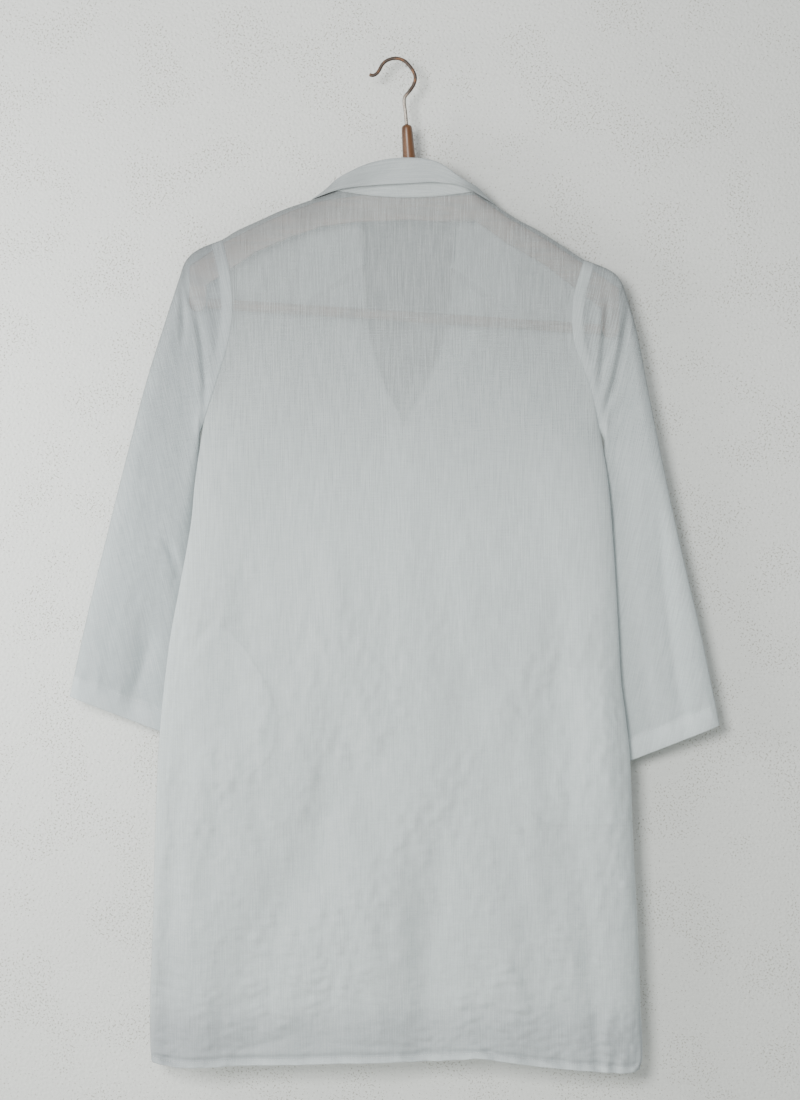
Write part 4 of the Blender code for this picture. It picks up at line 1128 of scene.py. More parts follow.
@dataclass(frozen=True)
class IronFinish:
    """Dark iron wire, rubbed bright along its shank."""

    name: str = "hook_iron"
    dark: Triple = (0.065, 0.048, 0.038)
    rust: Triple = (0.15, 0.075, 0.04)
    bright: Triple = (0.46, 0.42, 0.37)
    bright_levels: tuple[float, float] = (-0.030, -0.040)

    def make(self, groups: ShaderGroups) -> bpy.types.Material:
        """Build the material."""
        finish = Finish(self.name)
        tree = finish.nodes
        place = tree.object_place()
        wear = finish.group(groups.wear, {"Place": place})
        height = tree.parts(place)[2]
        pits = wear.outputs["Pits"]
        shank = tree.times(tree.ramp(height, *self.bright_levels), tree.ramp(pits, 0.35, 0.55))
        colour = tree.blend(wear.outputs["Rust"], self.dark, self.rust)
        colour = tree.blend(shank, colour, self.bright)
        rough = tree.ramp(pits, 0.3, 0.7, 0.38, 0.62)
        finish.feed(Base_Color=colour, Metallic=tree.ramp(shank, 0.0, 1.0, 0.55, 0.95), Roughness=rough,
                    Normal=finish.bump(pits, 0.00025, 0.6))
        return finish.material


@dataclass(frozen=True)
class PlasterFinish:
    """Pale matt plaster, seen from its front side only, with painted light paler at the left, painted shade duller
    at the right, and a painted shadow where it is seen through cloth.
    """

    name: str
    colour: Triple = (0.685, 0.702, 0.674)
    cloud_share: float = 0.95
    brushed_colour: Triple = (0.30, 0.31, 0.30)
    # Painted light and shade on the plaster: paler towards the left around middle height, duller towards the
    # right.
    painted_light_colour: Triple = (0.92, 0.95, 0.92)
    painted_shade_colour: Triple = (0.12, 0.12, 0.09)
    speck_colour: Triple = (0.30, 0.29, 0.24)
    # Painted shadow: the plaster takes this darker colour where it is seen through cloth.
    through_cloth_shade_colour: Triple = (0.05, 0.055, 0.06)
    through_cloth_shade: float = 0.82
    middle_height: float = 0.45
    one_sided: bool = True

    def make(self, groups: ShaderGroups) -> bpy.types.Material:
        """Build the material."""
        finish = Finish(self.name)
        tree = finish.nodes
        across, out, up = tree.parts(tree.object_place())
        place = tree.add("ShaderNodeCombineXYZ", {0: across, 1: tree.plus(out, up)}).outputs[0]
        cloud = tree.cut_noise(place, (5.0, 5.0), 1.0)
        brushed = tree.cut_noise(place, (40.0, 620.0))
        grit = tree.cut_noise(place, (330.0, 330.0))
        crowd = tree.ramp(tree.cut_noise(place, (17.0, 17.0)), 0.45, 0.65, 0.80, 0.70)
        speck = tree.ramp(tree.minus(tree.cut_noise(place, (560.0, 560.0)), crowd), 0.0, 0.03)
        clouded = tuple(c * self.cloud_share for c in self.colour)
        colour = tree.blend(tree.ramp(cloud, 0.3, 0.7, 0.0, 0.35), self.colour, clouded)
        colour = tree.blend(tree.ramp(brushed, 0.3, 0.7, 0.0, 0.05), colour, self.brushed_colour)
        level = tree.math("ABSOLUTE", tree.plus(up, self.middle_height))
        # Painted light: paler towards the left near middle height; painted shade: duller towards the right.
        painted_light_mask = tree.times(tree.ramp(across, -0.16, -0.35), tree.ramp(level, 0.50, 0.10, 0.0, 0.24))
        painted_shade_mask = tree.times(tree.ramp(across, 0.10, 0.34), tree.ramp(level, 0.08, 0.45, 0.02, 0.09))
        colour = tree.blend(painted_light_mask, colour, self.painted_light_colour)
        colour = tree.blend(painted_shade_mask, colour, self.painted_shade_colour)
        colour = tree.blend(tree.times(speck, 0.75), colour, self.speck_colour)
        # Painted shadow: darker wherever the plaster is seen through cloth.
        through = tree.add("ShaderNodeLightPath").outputs["Transparent Depth"]
        dim = tree.times(tree.math("MINIMUM", through, 1.0), self.through_cloth_shade)
        colour = tree.blend(dim, colour, self.through_cloth_shade_colour)
        normal = finish.bump(grit, 0.0007, 0.7)
        finish.feed(Base_Color=colour, Roughness=0.9, Specular_IOR_Level=0.0, Normal=normal)
        if self.one_sided:
            clear = tree.add("ShaderNodeBsdfTransparent").outputs[0]
            behind = tree.add("ShaderNodeNewGeometry").outputs["Backfacing"]
            shown = tree.add("ShaderNodeMixShader", {0: behind, 1: finish.shader.outputs[0], 2: clear})
            tree.tree.links.new(shown.outputs[0], finish.output.inputs["Surface"])
        return finish.material


class Workshop:
    """Turns grids into pieces and keeps what the pieces share."""

    def __init__(self, form: TunicForm) -> None:
        """Make the shared groups and the collection of pieces.

        Args:
            form: The tunic's form.
        """
        self.form = form
        self.groups = ShaderGroups()
        self.collection = bpy.data.collections.new("tunic")
        bpy.context.scene.collection.children.link(self.collection)
        self.thread = ThreadFinish().make(self.groups)
        self.stitches = Stitches(self)

    def mesh(self, name: str, grids: Sequence[Grid]) -> bpy.types.Mesh:
        """Mesh through one or more grids, merged where they meet, with the flat cut as its UV map."""
        points, faces, places, layers = [], [], [], []
        for grid in grids:
            rows, columns = grid.points.shape[:2]
            cut = grid.cut_places()
            start = sum(len(p) for p in points)
            points.append(grid.points.reshape(-1, 3) * MM)
            layers.append(grid.layers())
            for r in range(rows - 1):
                for c in range(columns if grid.ringed else columns - 1):
                    n = (c + 1) % columns
                    faces.append((start + r * columns + c, start + (r + 1) * columns + c,
                                  start + (r + 1) * columns + n, start + r * columns + n))
                    places += [cut[r, c], cut[r + 1, c], cut[r + 1, c + 1], cut[r, c + 1]]
        mesh = bpy.data.meshes.new(name)
        mesh.from_pydata(np.concatenate(points).tolist(), [], faces)
        layer = mesh.uv_layers.new(name="cut")
        layer.data.foreach_set("uv", np.array(places, np.float32).ravel())
        behind = mesh.attributes.new("layers", "FLOAT", "POINT")
        behind.data.foreach_set("value", np.concatenate(layers).astype(np.float32))
        if len(grids) > 1:
            bm = bmesh.new()
            bm.from_mesh(mesh)
            bmesh.ops.remove_doubles(bm, verts=bm.verts, dist=0.00002)
            bm.to_mesh(mesh)
            bm.free()
        mesh.shade_smooth()
        return mesh

    def place(self, name: str, mesh: bpy.types.Mesh, material: bpy.types.Material) -> bpy.types.Object:
        """Object with its material that rides on the hanger's body."""
        thing = bpy.data.objects.new(name, mesh)
        mesh.materials.clear()
        mesh.materials.append(material)
        self.collection.objects.link(thing)
        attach(thing, "root")
        return thing

    def cloth(self, name: str, grids: Sequence[Grid], finish: LinenFinish, replaces: str, slot: str,
              thickness: float = 0.5, even: bool = True) -> bpy.types.Object:
        """Piece of cloth that stands for a CAD node, which it hides.

        Args:
            name: Name of the piece.
            grids: Its surface.
            finish: Its linen.
            replaces: The CAD node.
            slot: Not used.
            thickness: Thickness of the shell in millimetres.
            even: Keeps the thickness the same at bends, which a piece folded flat on itself can't have.

        Returns:
            The piece.
        """
        thing = self.place(name, self.mesh(name, grids), finish.make(self.groups))
        wall = thing.modifiers.new("thickness", "SOLIDIFY")
        wall.thickness = thickness * MM
        wall.offset = 0.0
        wall.use_even_offset = even
        wall.use_quality_normals = True
        wall.thickness_clamp = 1.0
        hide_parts(replaces)
        spans = [grid.span() for grid in grids]
        area = sum(grid.area() for grid in grids)
        return thing


@dataclass
class Body:
    """Back and front panels with their turned-up hems."""

    shop: Workshop
    shoulder_columns: int = 57
    neck_columns: int = 68
    half_columns: int = 90
    rows_below_arm: int = 190
    armhole_rows: int = 58
    hem_turn: float = 7.0
    fold_radius: float = 0.32
    stitch_lift: float = 0.3
    hem_lines: list[Array] = field(default_factory=list)

    def _low_rows(self) -> Array:
        """Shares from the hem to the underarm, closer together at the hem."""
        return np.linspace(0, 1, self.rows_below_arm, endpoint=False) ** 1.3

    def _edges(self, side: Side, face: Face) -> tuple[Array, Array]:
        """Points (x, z) up one side of a panel, from the hem to the shoulder."""
        form = self.shop.form
        hem = HEM[0] if side is LEFT else HEM[-1]
        share = self._low_rows()
        z_low = mix(hem[1], UNDERARM[side.index][1], share)
        up = gathered(self.armhole_rows, 0.7)[::-1]
        x_up, z_up = form.armhole(side, up, face)
        return np.concatenate([form.side_x[side].at(z_low), x_up]), np.concatenate([z_low, z_up])

    @staticmethod
    def _patch(bottom: Array, top: Array, left: Array, right: Array, column: Array) -> Array:
        """Points (x, z) inside four edges.

        Args:
            bottom: Edge below, columns by 2.
            top: Edge above, columns by 2.
            left: Edge at the first column, rows by 2.
            right: Edge at the last column, rows by 2.
            column: Share across of each column.

        Returns:
            Rows by columns by 2.
        """
        rise = [(edge[:, 1] - edge[0, 1]) / (edge[-1, 1] - edge[0, 1]) for edge in (left, right)]
        row = ((rise[0] + rise[1]) / 2)[:, None, None]
        ruled = mix(bottom[None], top[None], row)
        left_gap = left[:, None] - mix(left[0], left[-1], row)
        right_gap = right[:, None] - mix(right[0], right[-1], row)
        return ruled + mix(left_gap, right_gap, column[None, :, None])

    def _panel(self, flat: Array, face: Face) -> Grid:
        """Panel through its points (x, z), with its hem turned up inside."""
        x, z = flat[..., 0], flat[..., 1]
        points = np.stack([x, self.shop.form.body_y(x, z, face), z], axis=-1)
        grid = Grid(points, grain=0.0).facing(lambda p: np.array([0.0, face.value, 0.0]))
        grid.lined = self._rolled
        self.hem_lines.append(grid.line_at(self.hem_turn - 0.8, self.stitch_lift))
        return grid.turned(self.hem_turn, self.fold_radius)

    def _rolled(self, place: Array) -> Array:
        """How whole and bright the narrow rolled edge of the hem is, which is fainter at the left."""
        up = place[:, 2] - self.shop.form.hem_z.at(place[:, 0])
        uneven = mix(0.12, 0.46, ease((place[:, 0] + 240) / 110))
        uneven = uneven * (1 + 0.35 * puckered(HEM_PUCKERS, place[:, 0]))
        return uneven * (1 - ease((up - 3.8) / 1.8))

    def back(self) -> Grid:
        """The back panel."""
        form = self.shop.form
        near = np.linspace(0, 1, self.shoulder_columns + 1) ** 1.45
        left_x = mix(SHOULDER_END[0][0], NECK_POINT[0][0], near)
        right_x = mix(SHOULDER_END[1][0], NECK_POINT[1][0], near)[::-1]
        neck_x, neck_z = form.back_neck(np.linspace(0, 1, self.neck_columns + 1)[1:-1])
        top = np.concatenate([
            np.stack([left_x, form.ridge_z.at(left_x)], -1), np.stack([neck_x, neck_z], -1),
            np.stack([right_x, form.ridge_z.at(right_x)], -1),
        ])
        column = (top[:, 0] - top[0, 0]) / (top[-1, 0] - top[0, 0])
        hem_x = mix(HEM[0][0], HEM[-1][0], column)
        bottom = np.stack([hem_x, form.hem_z.at(hem_x)], -1)
        left, right = (np.stack(self._edges(side, BACK), -1) for side in Side)
        return self._panel(self._patch(bottom, top, left, right, column), BACK)

    def front(self, side: Side) -> Grid:
        """Half of the front, from the side seam and armhole to the centre and the open neck edge."""
        form, i = self.shop.form, side.index
        corner = HEM[0] if side is LEFT else HEM[-1]
        centre = np.array([HEM_CENTRE_X, float(form.hem_z.at(HEM_CENTRE_X))])
        share = self._low_rows()[:, None]
        up = gathered(self.armhole_rows, 0.7)[::-1]
        z_up = mix(NECK_POINT[i][1], V_POINT[1], up)
        inner = np.concatenate([
            mix(centre, np.array(V_POINT), share), np.stack([form.opening_x[side].at(z_up), z_up], -1)])
        outer = np.stack(self._edges(side, FRONT), -1)
        column = np.linspace(0, 1, self.half_columns + 1) ** 1.35
        top_x = mix(SHOULDER_END[i][0], NECK_POINT[i][0], column)
        hem_x = mix(corner[0], centre[0], column)
        top = np.stack([top_x, form.ridge_z.at(top_x)], -1)
        bottom = np.stack([hem_x, form.hem_z.at(hem_x)], -1)
        low, high = corner[1], SHOULDER_END[i][1]
        row = ((outer[:, 1] - low) / (high - low))[:, None, None]
        ruled = mix(bottom[None], top[None], row)
        outer_gap = outer[:, None] - mix(outer[0], outer[-1], row)
        inner_gap = inner[:, None] - mix(inner[0], inner[-1], row)
        return self._panel(ruled + mix(outer_gap, inner_gap, column[None, :, None]), FRONT)

    def build(self) -> None:
        """Make the back and the front."""
        back = LinenFinish("linen_back", seed=0.0)
        self.shop.cloth("back_cloth", [self.back()], back, "back", "linen")
        front = LinenFinish("linen_front", seed=3.7)
        self.shop.cloth("front_cloth", [self.front(LEFT), self.front(RIGHT)], front, "front", "linen")
        self.shop.stitches.along("hem_stitches", self.hem_lines)


@dataclass
class Sleeves:
    """Three-quarter sleeves with turned-in cuffs and the pressed-in seam allowance of the armhole."""

    shop: Workshop
    ring_half: int = 74
    rows: int = 132
    cuff_turn: float = 22.0
    cuff_layers: float = 0.75
    allowance: float = 11.0
    fold_radius: float = 0.32
    seam_gap: float = 0.12
    stitch_lift: float = 0.3
    # The left sleeve's linen is set darker than the right's as painted shade.
    colours_left_shaded: tuple[Triple, ...] = ((0.655, 0.73, 0.745), (0.75, 0.825, 0.825))
    cuff_lines: dict[Side, Array] = field(default_factory=dict)

    def grid(self, side: Side) -> Grid:
        """Rings of a sleeve: down its back and up its front."""
        across = gathered(self.ring_half, 0.75)
        along = np.linspace(0, 1, self.rows + 1)[:, None] ** 1.05
        back = self.shop.form.sleeve_point(side, along, across[None, :], BACK)
        front = self.shop.form.sleeve_point(side, along, across[None, -2:0:-1], FRONT)
        points = np.concatenate([back, front], axis=1)
        points[..., 0] += side.value * self.seam_gap * (1 - ease(along / 0.06))
        centre = points.mean(axis=1, keepdims=True)
        seam = points[0, :self.ring_half + 1]

        end = SLEEVE_RINGS[side.index][-1]
        run_x, run_z = end.inner_x - end.outer_x, end.inner_z - end.outer_z
        high = SHOULDER_END[side.index][1]

        def lined(place: Array) -> Array:
            """Up to 1 in the pressed seam allowance, which fades towards the underarm, and in the cuff."""
            gaps = np.hypot(place[:, None, 0] - seam[None, :, 0], place[:, None, 2] - seam[None, :, 2])
            down = (high - place[:, 2]) / (high - UNDERARM[side.index][1])
            pressed = 1 - ease((gaps.min(axis=1) - self.allowance + 3.0) / 4.5)
            pressed = pressed * mix(1.0, 0.35, ease((down - 0.35) / 0.5))
            above = np.abs((place[:, 0] - end.outer_x) * run_z - (place[:, 2] - end.outer_z) * run_x)
            cuff = 1 - ease((above / math.hypot(run_x, run_z) - self.cuff_turn + 1.5) / 2.0)
            return np.maximum(pressed, self.cuff_layers * cuff)

        grid = Grid(points, True, -side.value * 12.5, lined).facing(lambda p: p - centre)
        self.cuff_lines[side] = grid.flipped().line_at(self.cuff_turn - 1.5, self.stitch_lift)
        grid = grid.turned(self.allowance, self.fold_radius)
        return grid.flipped().turned(self.cuff_turn, self.fold_radius).flipped()

    def build(self) -> None:
        """Make both sleeves."""
        for side in Side:
            node = f"sleeve_{side.word}"
            finish = LinenFinish(f"linen_{node}", self.colours_left_shaded[side.index], seed=7.3 + side.value)
            self.shop.cloth(f"{node}_cloth", [self.grid(side)], finish, node, "linen")
            self.shop.stitches.along(f"cuff_stitches_{side.word}", [self.cuff_lines[side]], 11 + side.value)


def catmull(values: Array, count: int) -> Array:
    """Smooth rows between rows.

    Args:
        values: Rows of numbers.
        count: How many spaces each gap is cut into.

    Returns:
        The rows with the new ones between them.
    """
    last = len(values) - 1
    out = []
    for step in range(last * count + 1):
        i, part = divmod(step, count)
        a, b, c, d = (values[min(max(i + j, 0), last)] for j in (-1, 0, 1, 2))
        t = part / count
        square, cube = 2 * a - 5 * b + 4 * c - d, 3 * b - a - 3 * c + d
        out.append(0.5 * (2 * b + (c - a) * t + square * t**2 + cube * t**3))
    return np.array(out)


def bent_line(knots: Array, count: int) -> Array:
    """Smooth line through a few points, cut into count spaces of like length."""
    fine = catmull(knots, 12)
    steps = np.concatenate([[0], np.cumsum(np.linalg.norm(np.diff(fine, axis=0), axis=1))])
    wanted = np.linspace(0, steps[-1], count + 1)
    return np.stack([np.interp(wanted, steps, fine[:, k]) for k in range(3)], -1)


@dataclass
class Collar:
    """Folded collar: a stand up from the neck seam and a leaf down over it."""

    shop: Workshop
    rows_between: int = 10
    stand_columns: int = 10
    leaf_columns: int = 22
    stand_below_fold: float = 1.5
    neck_lift: float = 0.1
    leaf_crest: float = 1.5
    roll_out: float = 0.5
    laid_on: float = 1.7
    stitch_lift: float = 0.55

    def seam(self, along: float) -> Array:
        """Point of the neck seam: left front below 0, back neck from 0 to 1, right front above."""
        form = self.shop.form
        if 0 <= along <= 1:
            x, z = form.back_neck(along)
            y = float(form.body_y(x, z, BACK)) if 0 < along < 1 else 0.0
            return np.array([x, y, z + self.neck_lift])
        side = LEFT if along < 0 else RIGHT
        down = -along if side is LEFT else along - 1
        z = mix(NECK_POINT[side.index][1], COLLAR_END[side.index], down)
        return form.opening_edge(side, z, self.roll_out, 0.0)

    def lines(self) -> list[tuple[Array, Array, Array]]:
        """Seam, fold and edge at each row."""
        keyed = []
        for s in COLLAR:
            edge_y = s.edge_y
            if edge_y is None:
                edge_y = float(self.shop.form.body_y(s.edge_x, s.edge_z, FRONT)) + self.laid_on
            keyed.append((s.seam, s.fold_x, s.fold_y, s.fold_z, s.edge_x, edge_y, s.edge_z))
        rows = catmull(np.array(keyed), self.rows_between)
        return [(self.seam(float(row[0])), row[1:4], row[4:7]) for row in rows]

    def stand(self) -> Grid:
        """The stand, from the seam to just under the fold."""
        rows = []
        for seam, fold, _ in self.lines():
            down = (seam - fold) / max(np.linalg.norm(seam - fold), 1e-3)
            top = fold + down * self.stand_below_fold
            rows.append([mix(seam, top, share) for share in np.linspace(0, 1, self.stand_columns + 1)])
        return Grid(np.array(rows)).facing(self._outward)

    def leaf(self) -> Grid:
        """The leaf, up over the fold and down to its outer edge."""
        rows = []
        for seam, fold, edge in self.lines():
            level = np.array([edge[0] - fold[0], edge[1] - fold[1], 0.0])
            out = level / max(np.linalg.norm(level), 1e-3)
            rise = (fold - seam) / max(np.linalg.norm(fold - seam), 1e-3)
            crest = fold + out * self.leaf_crest + rise * 0.4
            turned = fold + out * 2 * self.leaf_crest - rise * 0.8
            knots = np.array([fold, crest, turned, mix(turned, edge, 0.34), mix(turned, edge, 0.67), edge])
            rows.append(bent_line(knots, self.leaf_columns))
        return Grid(np.array(rows)).facing(self._outward)

    @staticmethod
    def _outward(points: Array) -> Array:
        """Direction away from the middle of the neck."""
        away = points - np.array([9.0, 2.0, -150.0])
        away[..., 2] = 0.0
        return away

    def build(self) -> None:
        """Make the stand and the leaf."""
        # The collar's stronger top_shade is painted shade, darker than on the body.
        double = LinenFinish("linen_collar_stand", opacity=0.84, top_shade=0.35, seed=1.3)
        self.shop.cloth("collar_stand_cloth", [self.stand()], double, "collar_stand", "linen_double", 0.8)
        double = LinenFinish("linen_collar_leaf", opacity=0.84, top_shade=0.36, seed=2.1)
        leaf = self.leaf()
        self.shop.cloth("collar_leaf_cloth", [leaf], double, "collar_leaf", "linen_double", 0.9)
        self.shop.stitches.along("collar_stitches", [leaf.column_line(-4, self.stitch_lift)], 21)


@dataclass
class FrontEdges:
    """Turned-out edges of the open neck and the placket strip below it."""

    shop: Workshop
    lapel_rows: int = 60
    lapel_columns: int = 16
    lift: float = 1.7
    soft_reach: float = 26.0
    placket_half: float = 13.5
    placket_top: tuple[float, float] = (4.0, -366.0)
    placket_bottom: tuple[float, float] = (-1.0, -755.0)
    placket_lift: float = 1.1

    def lapel(self, side: Side) -> Grid:
        """One turned-out edge: round the edge of the front and flat on its face."""
        form = self.shop.form
        table = catmull(np.array(LAPELS, float), self.lapel_rows // (len(LAPELS) - 1))
        column = 1 + 2 * side.index
        rows = []
        for row in table:
            z = float(row[0])
            start = form.opening_edge(side, z, 0.5, 0.0)
            round_it = form.opening_edge(side, z, 1.3, 0.6 * self.lift)
            edge_x = float(form.opening_x[side].at(z))
            shares = np.array([0.06, 0.33, 0.66, 1.0])
            x, low = mix(edge_x, row[column], shares), mix(z, row[column + 1], shares)
            flat = form.on_front(x, low, self.lift)
            rows.append(bent_line(np.concatenate([[start], [round_it], flat]), self.lapel_columns))

        def lined(place: Array) -> Array:
            """Grows away from the opening, where the pressed edge lies closest."""
            return ease(np.abs(place[:, 0] - form.opening_x[side].at(place[:, 2])) / self.soft_reach)

        return Grid(np.array(rows), lined=lined).facing(lambda p: np.array([0.0, 1.0, 0.0]))

    def placket(self) -> Grid:
        """The strip down the middle of the front."""
        share = np.linspace(0, 1, 131)[:, None]
        z = mix(self.placket_top[1], self.placket_bottom[1], share)
        centre = mix(self.placket_top[0], self.placket_bottom[0], share)
        x = centre + self.placket_half * np.linspace(-1, 1, 13)[None, :]
        z = np.broadcast_to(z, x.shape)
        strip = Grid(self.shop.form.on_front(x, z, self.placket_lift))
        return strip.facing(lambda p: np.array([0.0, 1.0, 0.0]))

    def build(self) -> None:
        """Make the lapels and the placket."""
        for side in Side:
            node, seed = f"facing_{side.word}", 4.4 + side.value
            finish = LinenFinish(f"linen_{node}", opacity=0.34, lined_opacity=0.46, seed=seed)
            lapel = self.lapel(side)
            self.shop.cloth(f"{node}_cloth", [lapel], finish, node, "linen_double", 0.6)
            line = lapel.column_line(-2, 0.45)
            self.shop.stitches.along(f"facing_stitches_{side.word}", [line], 31 + side.value)
        finish = LinenFinish("linen_placket", (0.86, 0.90, 0.88), opacity=0.93, seed=5.9)
        strip = self.placket()
        self.shop.cloth("placket_cloth", [strip], finish, "placket", "linen_double", 0.8)
        self.shop.stitches.along("placket_stitches", [strip.column_line(k, 0.55) for k in (1, -2)], 41)


@dataclass
class Pockets:
    """Pocket bags that hang inside the front from the side seams."""

    shop: Workshop
    rows: int = 44
    columns: int = 26
    inset: float = 9.0
    depth: float = 1.6
    lift: float = -1.2

    def bag(self, side: Side) -> Grid:
        """A bag of two layers, joined round its inner edge."""
        form = self.shop.form
        width_at = Curve(POCKET_BAG, 1)
        below = POCKET_BAG[-1][0] * gathered(self.rows, 0.4)[:, None]
        z = POCKET_TOP[side.index] - below
        edge = form.side_x[side].at(z)
        share = np.linspace(0, 1, self.columns + 1)[None, :]
        x = edge - side.value * mix(self.inset, width_at.at(below), share)
        z = np.broadcast_to(z, x.shape)
        close = np.sqrt(np.clip(1 - share**6, 0, 1)) * ease((POCKET_BAG[-1][0] + 3 - below) / 12)
        near = form.on_front(x, z, self.lift + self.depth / 2 * (close - 1))
        far = form.on_front(x, z, self.lift - self.depth / 2 * (close + 1))
        return Grid(np.concatenate([near, far[:, -2::-1]], axis=1))

    def build(self) -> None:
        """Make both bags."""
        for side in Side:
            node = f"pocket_{side.word}"
            finish = LinenFinish(f"linen_{node}", opacity=0.62, seed=6.2 + side.value)
            self.shop.cloth(f"{node}_cloth", [self.bag(side)], finish, node, "linen_double", 0.4, even=False)


@dataclass
class Stitches:
    """Rows of machine stitches made along lines by Geometry Nodes."""

    shop: Workshop
    pitch: float = 2.6
    length: float = 1.9
    radius: float = 0.16

    def __post_init__(self) -> None:
        """Make the stitch tree once."""
        self.tree = self._tree()

    def _tree(self) -> bpy.types.NodeTree:
        """Tree that lays a stitch along a curve at each step."""
        group = bpy.data.node_groups.new("stitch_line", "GeometryNodeTree")
        for name, kind, value in (
            ("Geometry", "NodeSocketGeometry", None), ("Pitch", "NodeSocketFloat", self.pitch * MM),
            ("Stitch length", "NodeSocketFloat", self.length * MM),
            ("Radius", "NodeSocketFloat", self.radius * MM),
            ("Seed", "NodeSocketInt", 7), ("Material", "NodeSocketMaterial", None),
        ):
            socket = group.interface.new_socket(name, in_out="INPUT", socket_type=kind)
            if value is not None:
                socket.default_value = value
        group.interface.new_socket("Geometry", in_out="OUTPUT", socket_type="NodeSocketGeometry")
        tree = NodeTree(group)
        given = tree.add("NodeGroupInput").outputs
        spacing = {"Curve": given["Geometry"], "Length": given["Pitch"]}
        points = tree.add("GeometryNodeCurveToPoints", spacing, mode="LENGTH")
        shape = tree.add("GeometryNodeMeshUVSphere", {"Segments": 6, "Rings": 4, "Radius": 1.0})
        uneven = tree.add("FunctionNodeRandomValue", data_type="FLOAT")
        uneven.inputs[2].default_value, uneven.inputs[3].default_value = 0.86, 1.06
        tree.tree.links.new(given["Seed"], uneven.inputs["Seed"])
        half = tree.times(given["Stitch length"], 0.5)
        size = tree.add("ShaderNodeCombineXYZ", {
            0: given["Radius"], 1: given["Radius"], 2: tree.times(half, uneven.outputs[1])})
        laid = tree.add("GeometryNodeInstanceOnPoints", {
            "Points": points.outputs["Points"], "Instance": shape.outputs["Mesh"],
            "Rotation": points.outputs["Rotation"], "Scale": size.outputs[0]})
        real = tree.add("GeometryNodeRealizeInstances", {"Geometry": laid.outputs[0]})
        dressed = tree.add("GeometryNodeSetMaterial", {"Geometry": real.outputs[0],
                                                       "Material": given["Material"]})
        tree.add("NodeGroupOutput", {"Geometry": dressed.outputs[0]})
        return group

    def along(self, name: str, lines: Sequence[Array], seed: int = 7) -> bpy.types.Object:
        """Stitches along one or more lines of points in millimetres, as one plain mesh."""
        curve = bpy.data.curves.new(name + "_line", "CURVE")
        curve.dimensions = "3D"
        for line in lines:
            spline = curve.splines.new("POLY")
            spline.points.add(len(line) - 1)
            places = np.hstack([line * MM, np.ones((len(line), 1))]).astype(np.float32)
            spline.points.foreach_set("co", places.ravel())
        holder = bpy.data.objects.new(name + "_line", curve)
        self.shop.collection.objects.link(holder)
        laid = holder.modifiers.new("stitches", "NODES")
        laid.node_group = self.tree
        sockets = {item.name: item.identifier for item in self.tree.interface.items_tree
                   if item.in_out == "INPUT"}
        laid[sockets["Pitch"]] = self.pitch * MM
        laid[sockets["Stitch length"]] = self.length * MM
        laid[sockets["Radius"]] = self.radius * MM
        laid[sockets["Seed"]] = seed
        laid[sockets["Material"]] = self.shop.thread
        seen = holder.evaluated_get(bpy.context.evaluated_depsgraph_get())
        mesh = bpy.data.meshes.new_from_object(seen)
        mesh.name = name
        bpy.data.objects.remove(holder)
        bpy.data.curves.remove(curve)
        mesh.shade_smooth()
        thing = self.shop.place(name, mesh, self.shop.thread)
        log.info("%s: %d faces", name, len(mesh.polygons))
        return thing


